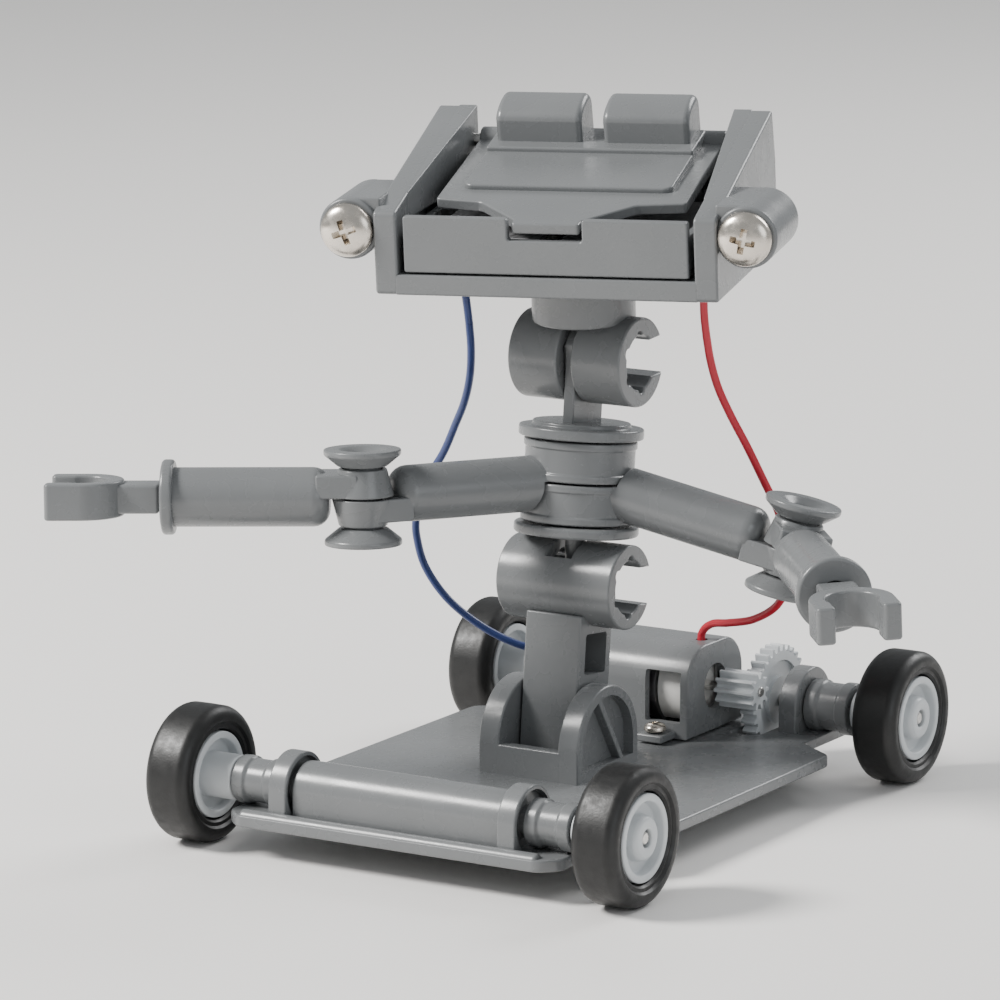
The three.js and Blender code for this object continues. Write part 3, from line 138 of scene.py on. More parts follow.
axle = joint_point("rear_axle_spin")
hip, neck_point = joint_point("hip_tilt"), joint_point("neck_tilt")
lean_axis = joint_axis("left_shoulder_turn")
ON_CHASSIS = placed_on(Vector((axle.x, 0, 0)), X, Z)
ON_HIP = placed_on(hip, X, lean_axis)
ON_NECK = placed_on(neck_point, X, joint_axis("head_turn"))
ON_HEAD = placed_on(neck_point, -joint_axis("lid_open"), joint_axis("head_turn"))
LID_SLOPE = math.atan2(LID_FALL, HINGE_Y - HEAD_FRONT - 3.4)
ON_LID = (
    placed_on(joint_point("lid_open"), -joint_axis("lid_open"), joint_axis("head_turn"))
    @ Matrix.Rotation(LID_SLOPE, 4, "X")
)
motor = joint_point("motor_spin")
MOTOR_Y, MOTOR_Z = motor.y / MM, motor.z / MM


def arm_places(side):
    """Frames of an arm: along the upper arm at its elbow, and along the forearm."""
    elbow, elbow_axis = joint_point(f"{side}_elbow_turn"), joint_axis(f"{side}_elbow_turn")
    along = (elbow - hip).dot(elbow_axis) / lean_axis.dot(elbow_axis)
    out = elbow - (hip + along * lean_axis)
    return placed_on(elbow, out, elbow_axis), placed_on(
        elbow, joint_axis(f"{side}_wrist_roll"), elbow_axis
    )


# ------------------------------------------------------------------ camera

CAMERA_AZIMUTH, CAMERA_RISE, CAMERA_FAR = 30.78, 11.21, 0.853
AIM = Vector((axle.x, 0, 0.050))


def add_camera():
    data = bpy.data.cameras.new("camera")
    camera = bpy.data.objects.new("camera", data)
    bpy.context.scene.collection.objects.link(camera)
    azimuth, rise = math.radians(CAMERA_AZIMUTH), math.radians(CAMERA_RISE)
    back = Vector(
        (
            math.sin(azimuth) * math.cos(rise),
            -math.cos(azimuth) * math.cos(rise),
            math.sin(rise),
        )
    )
    camera.location = AIM + back * CAMERA_FAR
    camera.rotation_mode = "QUATERNION"
    camera.rotation_quaternion = (-back).to_track_quat("-Z", "Y")
    data.lens, data.sensor_width = 211, 36
    data.shift_x, data.shift_y = -0.058, -0.024
    data.clip_start, data.clip_end = 0.05, 20
    bpy.context.scene.camera = camera


add_camera()

# ------------------------------------------------------------------ finishes


def new_finish(name, colour, roughness, metallic=0.0):
    made = bpy.data.materials.new(name)
    made.use_nodes = True
    shader = made.node_tree.nodes["Principled BSDF"]
    shader.inputs["Base Color"].default_value = (*colour, 1)
    shader.inputs["Roughness"].default_value = roughness
    shader.inputs["Metallic"].default_value = metallic
    return made


def add_noise(made, scale, detail=3.0, stretch=(1, 1, 1)):
    """A noise over the piece's own coordinates, scale in features per metre."""
    nodes, links = made.node_tree.nodes, made.node_tree.links
    place = nodes.new("ShaderNodeTexCoord")
    mapping = nodes.new("ShaderNodeMapping")
    mapping.inputs["Scale"].default_value = stretch
    noise = nodes.new("ShaderNodeTexNoise")
    noise.inputs["Scale"].default_value = scale
    noise.inputs["Detail"].default_value = detail
    links.new(place.outputs["Object"], mapping.inputs["Vector"])
    links.new(mapping.outputs["Vector"], noise.inputs["Vector"])
    return noise.outputs["Fac"]


def vary_colour(made, source, low, high):
    nodes, links = made.node_tree.nodes, made.node_tree.links
    mix = nodes.new("ShaderNodeMix")
    mix.data_type = "RGBA"
    mix.inputs["A"].default_value = (*low, 1)
    mix.inputs["B"].default_value = (*high, 1)
    links.new(source, mix.inputs["Factor"])
    links.new(mix.outputs["Result"], nodes["Principled BSDF"].inputs["Base Color"])


def vary_roughness(made, source, low, high):
    nodes, links = made.node_tree.nodes, made.node_tree.links
    spread = nodes.new("ShaderNodeMapRange")
    spread.inputs["From Min"].default_value = 0.3
    spread.inputs["From Max"].default_value = 0.7
    spread.inputs["To Min"].default_value = low
    spread.inputs["To Max"].default_value = high
    links.new(source, spread.inputs["Value"])
    links.new(spread.outputs["Result"], nodes["Principled BSDF"].inputs["Roughness"])


def add_relief(made, source, depth, strength=0.5):
    nodes, links = made.node_tree.nodes, made.node_tree.links
    relief = nodes.new("ShaderNodeBump")
    relief.inputs["Distance"].default_value = depth
    relief.inputs["Strength"].default_value = strength
    links.new(source, relief.inputs["Height"])
    links.new(relief.outputs["Normal"], nodes["Principled BSDF"].inputs["Normal"])


def moulded(name, low, high, gloss, grain=0.00002):
    """Injection-moulded plastic: faint flow marks in colour and gloss, and a fine grain."""
    made = new_finish(name, high, gloss)
    vary_colour(made, add_noise(made, 90, 2), low, high)
    vary_roughness(made, add_noise(made, 260, 4), gloss - 0.02, gloss + 0.06)
    add_relief(made, add_noise(made, 2600, 2), grain, 0.35)
    return made


grey = moulded("grey_plastic", (0.145, 0.151, 0.155), (0.170, 0.176, 0.180), 0.25)
pale = moulded("pale_plastic", (0.50, 0.525, 0.54), (0.57, 0.59, 0.605), 0.36)
white = moulded("white_nylon", (0.76, 0.75, 0.72), (0.82, 0.81, 0.78), 0.45)

rubber = new_finish("tyre_rubber", (0.008, 0.008, 0.009), 0.44)
vary_colour(rubber, add_noise(rubber, 300, 4), (0.004, 0.004, 0.004), (0.009, 0.009, 0.009))
vary_roughness(rubber, add_noise(rubber, 700, 4), 0.38, 0.55)
add_relief(rubber, add_noise(rubber, 3000, 3), 0.00004, 0.5)

steel = new_finish("drawn_steel", (0.60, 0.59, 0.57), 0.26, 1.0)
vary_roughness(steel, add_noise(steel, 1500, 3, (0.08, 1, 1)), 0.18, 0.34)

nickel = new_finish("nickel_plate", (0.72, 0.66, 0.58), 0.24, 1.0)
vary_colour(nickel, add_noise(nickel, 420, 3), (0.60, 0.54, 0.47), (0.76, 0.71, 0.64))
vary_roughness(nickel, add_noise(nickel, 900, 4), 0.16, 0.34)

zinc = new_finish("zinc_plated_can", (0.50, 0.50, 0.50), 0.32, 1.0)
vary_colour(zinc, add_noise(zinc, 200, 4), (0.42, 0.42, 0.43), (0.55, 0.55, 0.54))
vary_roughness(zinc, add_noise(zinc, 600, 4), 0.24, 0.42)

magnesium = new_finish("rolled_magnesium", (0.42, 0.42, 0.43), 0.5, 1.0)
vary_roughness(magnesium, add_noise(magnesium, 1100, 4, (1, 0.1, 1)), 0.4, 0.65)
vary_colour(magnesium, add_noise(magnesium, 160, 4), (0.33, 0.33, 0.34), (0.46, 0.46, 0.47))

carbon = new_finish("carbon_coat", (0.02, 0.02, 0.02), 0.85)
vary_colour(carbon, add_noise(carbon, 900, 5), (0.010, 0.010, 0.010), (0.035, 0.035, 0.035))
add_relief(carbon, add_noise(carbon, 2200, 4), 0.00015, 0.8)

felt = new_finish("undyed_felt", (0.78, 0.75, 0.68), 0.95)
vary_colour(felt, add_noise(felt, 1300, 5), (0.66, 0.63, 0.56), (0.84, 0.81, 0.74))
add_relief(felt, add_noise(felt, 3500, 5), 0.0002, 0.8)
felt.node_tree.nodes["Principled BSDF"].inputs["Sheen Weight"].default_value = 0.4

red = new_finish("red_insulation", (0.50, 0.012, 0.03), 0.36)
vary_colour(red, add_noise(red, 350, 3), (0.42, 0.008, 0.022), (0.55, 0.018, 0.04))
blue = new_finish("blue_insulation", (0.02, 0.04, 0.16), 0.36)
vary_colour(blue, add_noise(blue, 350, 3), (0.014, 0.03, 0.12), (0.03, 0.055, 0.20))

# ------------------------------------------------------------------ shapes


def edges_over(bm, degrees, keep=lambda edge: True):
    limit = math.radians(degrees)
    return [e for e in bm.edges if e.is_manifold and e.calc_face_angle(0) > limit and keep(e)]


def soften(bm, width, segments=3, over=35, keep=lambda edge: True):
    """Rounds the edges that are sharper than an angle."""
    bmesh.ops.bevel(
        bm,
        geom=edges_over(bm, over, keep),
        offset=width,
        offset_type="OFFSET",
        segments=segments,
        profile=0.5,
        affect="EDGES",
        clamp_overlap=True,
        material=-1,
    )
    return bm


def rod(start, end, diameter, soft=0.25, sides=64, end_diameter=None):
    """A round bar between two points, with rounded rims."""
    bm = bmesh.new()
    a, b = Vector(start), Vector(end)
    bmesh.ops.create_cone(
        bm,
        cap_ends=True,
        segments=sides,
        radius1=diameter / 2,
        radius2=(end_diameter or diameter) / 2,
        depth=(b - a).length,
    )
    turn = (b - a).to_track_quat("Z", "Y").to_matrix().to_4x4()
    bmesh.ops.transform(bm, matrix=Matrix.Translation((a + b) / 2) @ turn, verts=bm.verts)
    return soften(bm, soft) if soft else bm


def block(low, high, soft=0.3, segments=3):
    """A box between two corners, with rounded edges."""
    bm = bmesh.new()
    a, b = Vector(low), Vector(high)
    bmesh.ops.create_cube(bm, size=1)
    bmesh.ops.scale(bm, vec=b - a, verts=bm.verts)
    bmesh.ops.translate(bm, vec=(a + b) / 2, verts=bm.verts)
    return soften(bm, soft, segments) if soft else bm


# Where an outline's two coordinates and its depth go, for a slab along each axis.
SLAB_AXES = {
    "X": Matrix((Y, Z, X)).transposed(),
    "Y": Matrix((Z, X, Y)).transposed(),
    "Z": Matrix((X, Y, Z)).transposed(),
}


def slab(points, axis, low, high, soft=0.3, corner=0.0, segments=3):
    """An outline pushed along an axis. Its corners are rounded first and then its rims.

    The outline is in (y, z) for X, in (z, x) for Y and in (x, y) for Z."""
    bm = bmesh.new()
    turn = SLAB_AXES[axis]
    face = bm.faces.new([bm.verts.new(turn @ Vector((a, b, low))) for a, b in points])
    pushed = bmesh.ops.extrude_face_region(bm, geom=[face])
    along = turn @ Vector((0, 0, high - low))
    fresh = [v for v in pushed["geom"] if isinstance(v, bmesh.types.BMVert)]
    bmesh.ops.translate(bm, vec=along, verts=fresh)
    bmesh.ops.recalc_face_normals(bm, faces=bm.faces)
    along = along.normalized()

    def is_upright(edge):
        way = edge.verts[1].co - edge.verts[0].co
        return abs(way.normalized().dot(along)) > 0.99

    if corner:
        soften(bm, corner, 5, 25, is_upright)
    if soft:
        soften(bm, soft, segments, 50, lambda edge: not is_upright(edge))
    return bm


def turned(profile, sides=64):
    """A closed profile of (radius, height) points spun round Z."""
    bm = bmesh.new()
    ring = [bm.verts.new((radius, 0, height)) for radius, height in profile]
    edges = [bm.edges.new((ring[i - 1], ring[i])) for i in range(len(ring))]
    bmesh.ops.spin(
        bm,
        geom=edges,
        cent=(0, 0, 0),
        axis=(0, 0, 1),
        angle=2 * math.pi,
        steps=sides,
        use_merge=True,
    )
    bmesh.ops.remove_doubles(bm, verts=bm.verts, dist=1e-4)
    bmesh.ops.recalc_face_normals(bm, faces=bm.faces)
    return bm


def moved(bm, matrix):
    bmesh.ops.transform(bm, matrix=matrix, verts=bm.verts)
    if matrix.determinant() < 0:
        bmesh.ops.reverse_faces(bm, faces=bm.faces)
    return bm


def shifted(bm, x=0, y=0, z=0):
    return moved(bm, Matrix.Translation((x, y, z)))


def mirrored_x(bm):
    return moved(bm, Matrix.Scale(-1, 4, X))


def arc(y, z, radius, start, end, steps=16):
    """Points on a circle from one angle to another, in degrees."""
    angles = [math.radians(start + (end - start) * i / steps) for i in range(steps + 1)]
    return [(y + radius * math.cos(a), z + radius * math.sin(a)) for a in angles]


def rounded_profile(points, radius, steps=4):
    """A closed (radius, height) profile with an arc in place of each outward corner."""
    out = []
    for i, here in enumerate(points):
        a, b, c = Vector(points[i - 1]), Vector(here), Vector(points[(i + 1) % len(points)])
        reach = min(radius, (a - b).length * 0.45, (c - b).length * 0.45)
        start, end = b + (a - b).normalized() * reach, b + (c - b).normalized() * reach
        for k in range(steps + 1):
            t = k / steps
            out.append(tuple((1 - t) ** 2 * start + 2 * t * (1 - t) * b + t * t * end))
    return out


def joined(*shells):
    """One bmesh of several closed shells."""
    bm = bmesh.new()
    for shell in shells:
        mesh = bpy.data.meshes.new("shell")
        shell.to_mesh(mesh)
        shell.free()
        bm.from_mesh(mesh)
        bpy.data.meshes.remove(mesh)
    return bm


def combined(operation, first, others):
    """The first solid with each other one cut from it or made one with it."""

    def as_object(shape):
        mesh = bpy.data.meshes.new("shape")
        shape.to_mesh(mesh)
        shape.free()
        made = bpy.data.objects.new("shape", mesh)
        bpy.context.scene.collection.objects.link(made)
        return made

    body = as_object(first)
    tools = [as_object(shape) for shape in others]
    for tool in tools:
        step = body.modifiers.new("step", "BOOLEAN")
        step.operation, step.solver, step.object = operation, "EXACT", tool
    bpy.context.view_layer.update()
    evaluated = body.evaluated_get(bpy.context.evaluated_depsgraph_get())
    out = bmesh.new()
    out.from_mesh(evaluated.to_mesh())
    evaluated.to_mesh_clear()
    for made in [body, *tools]:
        bpy.data.meshes.remove(made.data)
    return out


def carved(bm, *cutters):
    return combined("DIFFERENCE", bm, cutters)


def fused(bm, *others):
    return combined("UNION", bm, others)


def piece(name, body, bm, place, finish, replaced=None):
    """Makes a finished object that rides on a body and stands for CAD nodes."""
    moved(bm, place)
    mesh = bpy.data.meshes.new(name)
    bm.to_mesh(mesh)
    bm.free()
    mesh.shade_smooth()
    mesh.set_sharp_from_angle(angle=math.radians(38))
    mesh.materials.append(finish)
    made = bpy.data.objects.new(name, mesh)
    bpy.context.scene.collection.objects.link(made)
    weighted = made.modifiers.new("even_shading", "WEIGHTED_NORMAL")
    weighted.keep_sharp = True
    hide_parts(*(replaced or [name.removesuffix("_shown")]))
    if body:
        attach(made, body)
    return made


# ------------------------------------------------------------------ leads

# Each lead's route in three lengths, beside the head, the neck and the waist.
COVER_HOLE_X = COVER_RIGHT - 2.4
LEAD_ROUTES = {
    "red": [
        [(18.2, 10.6, 78.4), (18.1, 10.8, 76), (18, 11.2, 73.4), (18, 11.85, 70.45)],
        [(18, 11.85, 70.45), (18.2, 12.8, 66.6), (18.8, 14, 62.6), (20, 15.6, 58.4)]
        + [(21.8, 17.4, 53.6), (23.5, 19.1, 48.7), (25, 20.7, 44.2), (25.75, 21.75, 40.45)],
        [(25.75, 21.75, 40.45), (26, 22.8, 36.8), (25.4, 24, 33), (22.4, 25.8, 28.4)]
        + [(17.6, 27.4, 25.4), (12.6, 28.8, 24), (9, 30, 23.2)]
        + [(COVER_HOLE_X, MOTOR_Y, 21.4), (COVER_HOLE_X, MOTOR_Y, 18.9)],
    ],
    "blue": [
        [(-18, 2.8, 78.4), (-17.8, 3, 76), (-17.6, 3.4, 73.4), (-17.6, 4.05, 70.45)],
        [(-17.6, 4.05, 70.45), (-18, 5.2, 66.4), (-19.2, 6.8, 62), (-21.4, 8.8, 57.6)]
        + [(-24.4, 11, 53.4), (-27.7, 13.1, 48.7), (-31.2, 14.6, 44.4), (-33.5, 15.75, 40.85)],
        [(-33.5, 15.75, 40.85), (-34.9, 16.7, 37.4), (-35.4, 17.6, 34), (-34.8, 19.2, 29)]
        + [(-32.2, 21.6, 23.8), (-28.2, 25, 19.4), (-23.6, 28, 16.6)]
        + [(-19.6, MOTOR_Y, 15.6), (COVER_LEFT + 2, MOTOR_Y, 15.4)],
    ],
}
LEAD_STEPS = 8  # rings between two points of a route


def smooth_line(points):
    """The points with a smooth curve drawn through them."""
    ends = [points[0] * 2 - points[1], *points, points[-1] * 2 - points[-2]]
    line = []
    for a, b, c, d in zip(ends, ends[1:], ends[2:], ends[3:]):
        for k in range(LEAD_STEPS):
            t = k / LEAD_STEPS
            line.append(
                0.5
                * (2 * b + (c - a) * t + (2 * a - 5 * b + 4 * c - d) * t**2)
                + 0.5 * (3 * b - a - 3 * c + d) * t**3
            )
    return [*line, points[-1]]


def tube_round(line, diameter, sides=14):
    """A closed tube along a line, ring by ring."""
    bm = bmesh.new()
    way = (line[1] - line[0]).normalized()
    turn = way.to_track_quat("Z", "Y")
    rings = []
    for i, point in enumerate(line):
        ahead = line[min(i + 1, len(line) - 1)] - line[max(i - 1, 0)]
        turn = way.rotation_difference(ahead.normalized()) @ turn
        way = ahead.normalized()
        ring = bmesh.ops.create_circle(bm, segments=sides, radius=diameter / 2)["verts"]
        place = Matrix.Translation(point) @ turn.to_matrix().to_4x4()
        bmesh.ops.transform(bm, matrix=place, verts=ring)
        rings.append(ring)
    for near, far in zip(rings, rings[1:]):
        edges = [e for e in bm.edges if e.verts[0] in near and e.verts[1] in near]
        edges += [e for e in bm.edges if e.verts[0] in far and e.verts[1] in far]
        bmesh.ops.bridge_loops(bm, edges=edges)
    for ring in (rings[0], rings[-1]):
        bm.faces.new(ring)
    bmesh.ops.recalc_face_normals(bm, faces=bm.faces)
    return bm


for colour, finish in (("red", red), ("blue", blue)):
    made, lines = [], []
    for length, part in enumerate(("top", "middle", "bottom")):
        line = [ON_CHASSIS @ p for p in smooth_line([Vector(p) for p in LEAD_ROUTES[colour][length]])]
        name = f"{colour}_lead_{part}"
        tube = tube_round(line, WIRE_D * MM)
        lead = piece(f"{name}_shown", None, tube, Matrix.Identity(4), finish, [name])
        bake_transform(lead)
        made.append(lead)
        lines.append(line)
    for length, on_it in ((1, [made[0]]), (2, [])):
        line = lines[length]

# ------------------------------------------------------------------ chassis


def plate_outline():
    gear_slot, slot_front = GEAR_W / 2 + 1.1, REAR_Y - GEAR_MODULE * GEAR_TEETH / 2 - 1.6
    side = [
        (NOSE_HALF - 2.6, PLATE_FRONT),
        (NOSE_HALF, PLATE_FRONT + 2.6),
        (NOSE_HALF, -WHEEL_GAP_Y - 2.5),
        (PLATE_HALF, -WHEEL_GAP_Y + 2.5),
        (PLATE_HALF, WHEEL_GAP_Y - 2.5),
        (TAIL_HALF, WHEEL_GAP_Y + 2.5),
        (TAIL_HALF, PLATE_BACK),
    ]
    slot = [
        (GEAR_X + gear_slot, PLATE_BACK),
        (GEAR_X + gear_slot, slot_front),
        (GEAR_X - gear_slot, slot_front),
        (GEAR_X - gear_slot, PLATE_BACK),
    ]
    return [*side, *slot, *[(-x, y) for x, y in reversed(side)]]


def collar(side, y, diameter):
    """A stout collar that stands on the plate round a bush. A front one's right face is sunk."""
    radius = diameter / 2
    points = [(y - radius, PLATE_BASE + 0.4), (y + radius, PLATE_BASE + 0.4)]
    points += arc(y, AXLE_Z, radius, 0, 180, 28)
    near, far = sorted((COLLAR_IN * side, COLLAR_OUT * side))
    body = slab(points, "X", near, far, 0.3)
    if y > 0:
        return body
    return carved(body, rod((far - COLLAR_SINK, y, AXLE_Z), (far + 1, y, AXLE_Z), COLLAR_LIP_D, 0))


def ear_arch(inset, foot):
    """An ear's round-topped outline, drawn in by an inset."""
    middle, reach = (EAR_FRONT + EAR_BACK) / 2, (EAR_BACK - EAR_FRONT) / 2 - inset
    rise = EAR_TOP - EAR_SHOULDER - inset
    points = [(middle - reach, foot), (middle + reach, foot)]
    for k in range(29):
        turn = math.pi * k / 28
        points.append((middle + reach * math.cos(turn), EAR_SHOULDER + rise * math.sin(turn)))
    return points


def ear(side):
    """One ear of the leg's clevis, with a deep web and a leaning rib on its outer face."""
    body = carved(
        slab(ear_arch(0, PLATE_BASE + 0.4), "X", EAR_IN, EAR_OUT, 0.3),
        slab(ear_arch(EAR_RIM, PLATE_TOP + EAR_RIM), "X", EAR_OUT - EAR_RECESS, EAR_OUT + 1, 0),
    )
    top, foot = EAR_FRONT + 5.6, EAR_BACK - 3
    leaning = [(foot - EAR_RIB_T, PLATE_TOP), (foot, PLATE_TOP)]
    leaning += [(top + EAR_RIB_T, EAR_TOP - 0.9), (top, EAR_TOP - 1)]
    rib = slab(leaning, "X", EAR_OUT - EAR_RECESS - 0.3, EAR_OUT - 0.15, 0.15)
    both = joined(body, rib)
    return both if side > 0 else mirrored_x(both)


def chassis():
    shells = [slab(plate_outline(), "Z", PLATE_BASE, PLATE_TOP, 0.35, 1.0)]
    lip = 1.25
    edge_y, edge_z = PLATE_FRONT + lip, PLATE_BASE + lip
    reach = NOSE_HALF - 2.9
    shells.append(rod((-reach, edge_y, edge_z), (reach, edge_y, edge_z), lip * 2, 0.6, 32))
    for side in (-1, 1):
        shells.append(collar(side, FRONT_Y, FRONT_COLLAR_D))
        shells.append(collar(side, REAR_Y, REAR_COLLAR_D))
        shells.append(ear(side))
    shells.append(block((-5.4, EAR_FRONT, PLATE_BASE + 0.4), (5.4, EAR_FRONT + 2, 11), 0.3))
    cradle_top = MOTOR_Z - MOTOR_FLAT / 2 - GAP
    shells.append(
        block(
            (MOTOR_BACK_X + 1, MOTOR_Y - 3.5, PLATE_BASE + 0.4),
            (MOTOR_FRONT_X - 1, MOTOR_Y + 3.5, cradle_top),
            0.2,
        )
    )
    return joined(*shells)


piece("chassis_plate_shown", "chassis", chassis(), ON_CHASSIS, grey)


def axle_cover():
    half = COLLAR_IN - GAP
    radius = AXLE_TUBE_D / 2
    points = [(FRONT_Y - radius, PLATE_TOP + GAP), (FRONT_Y + radius, PLATE_TOP + GAP)]
    points += arc(FRONT_Y, AXLE_Z, radius, 0, 180, 32)
    return slab(points, "X", -half, half, 0.3)


piece("front_axle_cover_shown", "chassis", axle_cover(), ON_CHASSIS, grey)


def bush(diameter):
    """A ribbed sleeve along +Z from the collar's middle plane to the hub."""
    radius, bore = diameter / 2, AXLE_D / 2 + 0.35
    face, end = COLLAR_OUT + GAP, WHEEL_X - TYRE_W / 2 - HUB_REACH - 0.35
    step = (end - face) / 4
    groove = radius - 0.35
    profile = [
        (bore, COLLAR_IN + 0.2),
        (2.3, COLLAR_IN + 0.2),
        (2.3, face),
        (radius, face),
        (radius, face + step),
        (groove, face + step + 0.35),
        (groove, face + step * 3 - 0.35),
        (radius, face + step * 3),
        (radius, end),
        (bore, end),
    ]
    return turned(rounded_profile(profile, 0.2, 3))


# ------------------------------------------------------------------ wheels


def tyre():
    """A tyre with round shoulders, a slight crown and a bead groove in each wall."""
    half, outer, bore = TYRE_W / 2, WHEEL_D / 2, RIM_D / 2 + GAP
    shoulder = 1.7
    right = [(bore, half - 0.7), (bore + 0.35, half - 0.35), (bore + 0.9, half - 0.4)]
    right += [(bore + 1.25, half - 0.05), (outer - shoulder, half)]
    for k in range(1, 9):
        turn = math.radians(90 * k / 8)
        right.append(
            (outer - shoulder + shoulder * math.sin(turn), half - shoulder + shoulder * math.cos(turn))
        )
    left = [(radius, -height) for radius, height in reversed(right)]
    right[-1] = (outer - 0.03, half - shoulder)
    left[0] = (outer - 0.03, shoulder - half)
    return turned([*right, (outer, 0), *left], 96)


def rim():
    """A dished rim with a long hub, its outer face towards +Z."""
    half, bore = TYRE_W / 2 - 0.4, AXLE_D / 2 + GAP
    lip, web = RIM_D / 2 - 1.1, 1.6
    out = half + 0.3
    profile = [
        (bore, -HUB_REACH - TYRE_W / 2),
        (HUB_D / 2, -HUB_REACH - TYRE_W / 2),
        (HUB_D / 2, -web),
        (lip, -web),
        (lip, -half),
        (RIM_D / 2, -half),
        (RIM_D / 2, half),
        (lip, half),
        (lip - 0.2, web),
        (HUB_D / 2, web),
        (HUB_D / 2 - 0.1, out - 0.5),
        (HUB_D / 2 - 0.5, out),
        (bore, out),
    ]
    return turned(rounded_profile(profile, 0.28, 3), 80)


def outwards(bm, side):
    """Turns a shape made along +Z to lie along the axle, away from the middle."""
    return moved(bm, Matrix.Rotation(math.radians(90 * side), 4, "Y"))


SIDES = (("left", -1), ("right", 1))
ENDS = (("front", FRONT_Y, FRONT_BUSH_D), ("rear", REAR_Y, REAR_BUSH_D))
for end, y, bush_d in ENDS:
    wheels = f"{end}_wheels"
    for hand, side in SIDES:
        corner = f"{end}_{hand}"
        sleeve = shifted(outwards(bush(bush_d), side), 0, y, AXLE_Z)
        piece(f"{corner}_bush_shown", "chassis", sleeve, ON_CHASSIS, grey)
        shown = shifted(outwards(tyre(), side), WHEEL_X * side, y, AXLE_Z)
        piece(f"{corner}_tyre_shown", wheels, shown, ON_CHASSIS, rubber)
        shown = shifted(outwards(rim(), side), WHEEL_X * side, y, AXLE_Z)
        piece(f"{corner}_rim_shown", wheels, shown, ON_CHASSIS, pale)
    tip = WHEEL_X + TYRE_W / 2 - 0.4
    shaft = rod((-tip, y, AXLE_Z), (tip, y, AXLE_Z), AXLE_D, 0.35, 32)
    piece(f"{end}_axle_shown", wheels, shaft, ON_CHASSIS, steel)

# ------------------------------------------------------------------ gears and motor

MESH_ANGLE = math.atan2(MOTOR_Z - AXLE_Z, MOTOR_Y - REAR_Y)


def toothed(teeth, phase, low, high, y, z):
    """A gear's toothed disc: straight flanks with rounded tips."""
    pitch_r, pitch = GEAR_MODULE * teeth / 2, 2 * math.pi / teeth
    root_r, tip_r = pitch_r - GEAR_MODULE * 1.05, pitch_r + GEAR_MODULE * 0.8
    waist_r = pitch_r + GEAR_MODULE * 0.5
    flank = [(root_r, -0.3), (waist_r, -0.165), (tip_r, -0.1)]
    flank += [(radius, -share) for radius, share in reversed(flank)]
    points = []
    for tooth in range(teeth):
        for radius, share in flank:
            turn = phase + (tooth + share) * pitch
            points.append((y + radius * math.cos(turn), z + radius * math.sin(turn)))
    return slab(points, "X", low, high, 0.12, 0, 2)


def driven_gear():
    low, high = GEAR_X - GEAR_W / 2, GEAR_X + GEAR_W / 2
    disc = toothed(GEAR_TEETH, MESH_ANGLE, low, high, REAR_Y, AXLE_Z)
    sunk = []
    for near, far in ((low - 1, low + 0.7), (high - 0.7, high + 1)):
        ring = rounded_profile([(3.6, near), (6.1, near), (6.1, far), (3.6, far)], 0.2, 2)
        sunk.append(shifted(outwards(turned(ring), 1), 0, REAR_Y, AXLE_Z))
    hub = rod((low - 1.6, REAR_Y, AXLE_Z), (low + 0.6, REAR_Y, AXLE_Z), 5.4, 0.25, 40)
    return joined(carved(disc, *sunk), hub)


piece("driven_gear_shown", "rear_wheels", driven_gear(), ON_CHASSIS, pale)

PINION_LOW, PINION_HIGH = GEAR_X - GEAR_W / 2 - PINION_OVER, GEAR_X + GEAR_W / 2 + PINION_OVER
PINION_PHASE = MESH_ANGLE + math.pi + math.pi / PINION_TEETH
pinion = toothed(PINION_TEETH, PINION_PHASE, PINION_LOW, PINION_HIGH, MOTOR_Y, MOTOR_Z)
piece("motor_pinion_shown", "motor_rotor", pinion, ON_CHASSIS, pale)
shaft = rod((MOTOR_FRONT_X - 6, MOTOR_Y, MOTOR_Z), (PINION_HIGH + 0.4, MOTOR_Y, MOTOR_Z), 1.5, 0.2, 32)
piece("motor_shaft_shown", "motor_rotor", shaft, ON_CHASSIS, steel)


def flat_sided(diameter, flat, low, high, soft=0.35):
    """A motor's section, round with two flats, along X."""
    cut = math.degrees(math.asin(flat / diameter))
    points = arc(MOTOR_Y, MOTOR_Z, diameter / 2, -cut, cut, 20)
    points += arc(MOTOR_Y, MOTOR_Z, diameter / 2, 180 - cut, 180 + cut, 20)
    return slab(points, "X", low, high, soft, 0.6)


CAP_LOW, CAP_HIGH = MOTOR_FRONT_X + GAP, MOTOR_FRONT_X + GAP + END_CAP_L
can = flat_sided(MOTOR_D, MOTOR_FLAT, MOTOR_BACK_X, MOTOR_FRONT_X, 0.6)
piece("motor_can_shown", "chassis", can, ON_CHASSIS, zinc)
boss = rod((CAP_LOW, MOTOR_Y, MOTOR_Z), (CAP_HIGH + CAP_BOSS_H, MOTOR_Y, MOTOR_Z), 5, 0.3, 40)
end_cap = joined(flat_sided(MOTOR_D - 0.6, MOTOR_FLAT - 0.4, CAP_LOW, CAP_HIGH), boss)
piece("motor_end_cap_shown", "chassis", end_cap, ON_CHASSIS, white)
for end, y in (("front", MOTOR_Y - 4.2), ("rear", MOTOR_Y + 4.2)):
    low = (CAP_HIGH + GAP, y - 0.8, MOTOR_Z - 1.2)
    tag = block(low, (CAP_HIGH + GAP + 0.4, y + 0.8, MOTOR_Z + 3.2), 0.1, 2)
    hole = rod((CAP_HIGH - 1, y, MOTOR_Z + 2.3), (CAP_HIGH + 2, y, MOTOR_Z + 2.3), 0.8, 0, 20)
    piece(f"{end}_motor_terminal_shown", "chassis", carved(tag, hole), ON_CHASSIS, zinc)

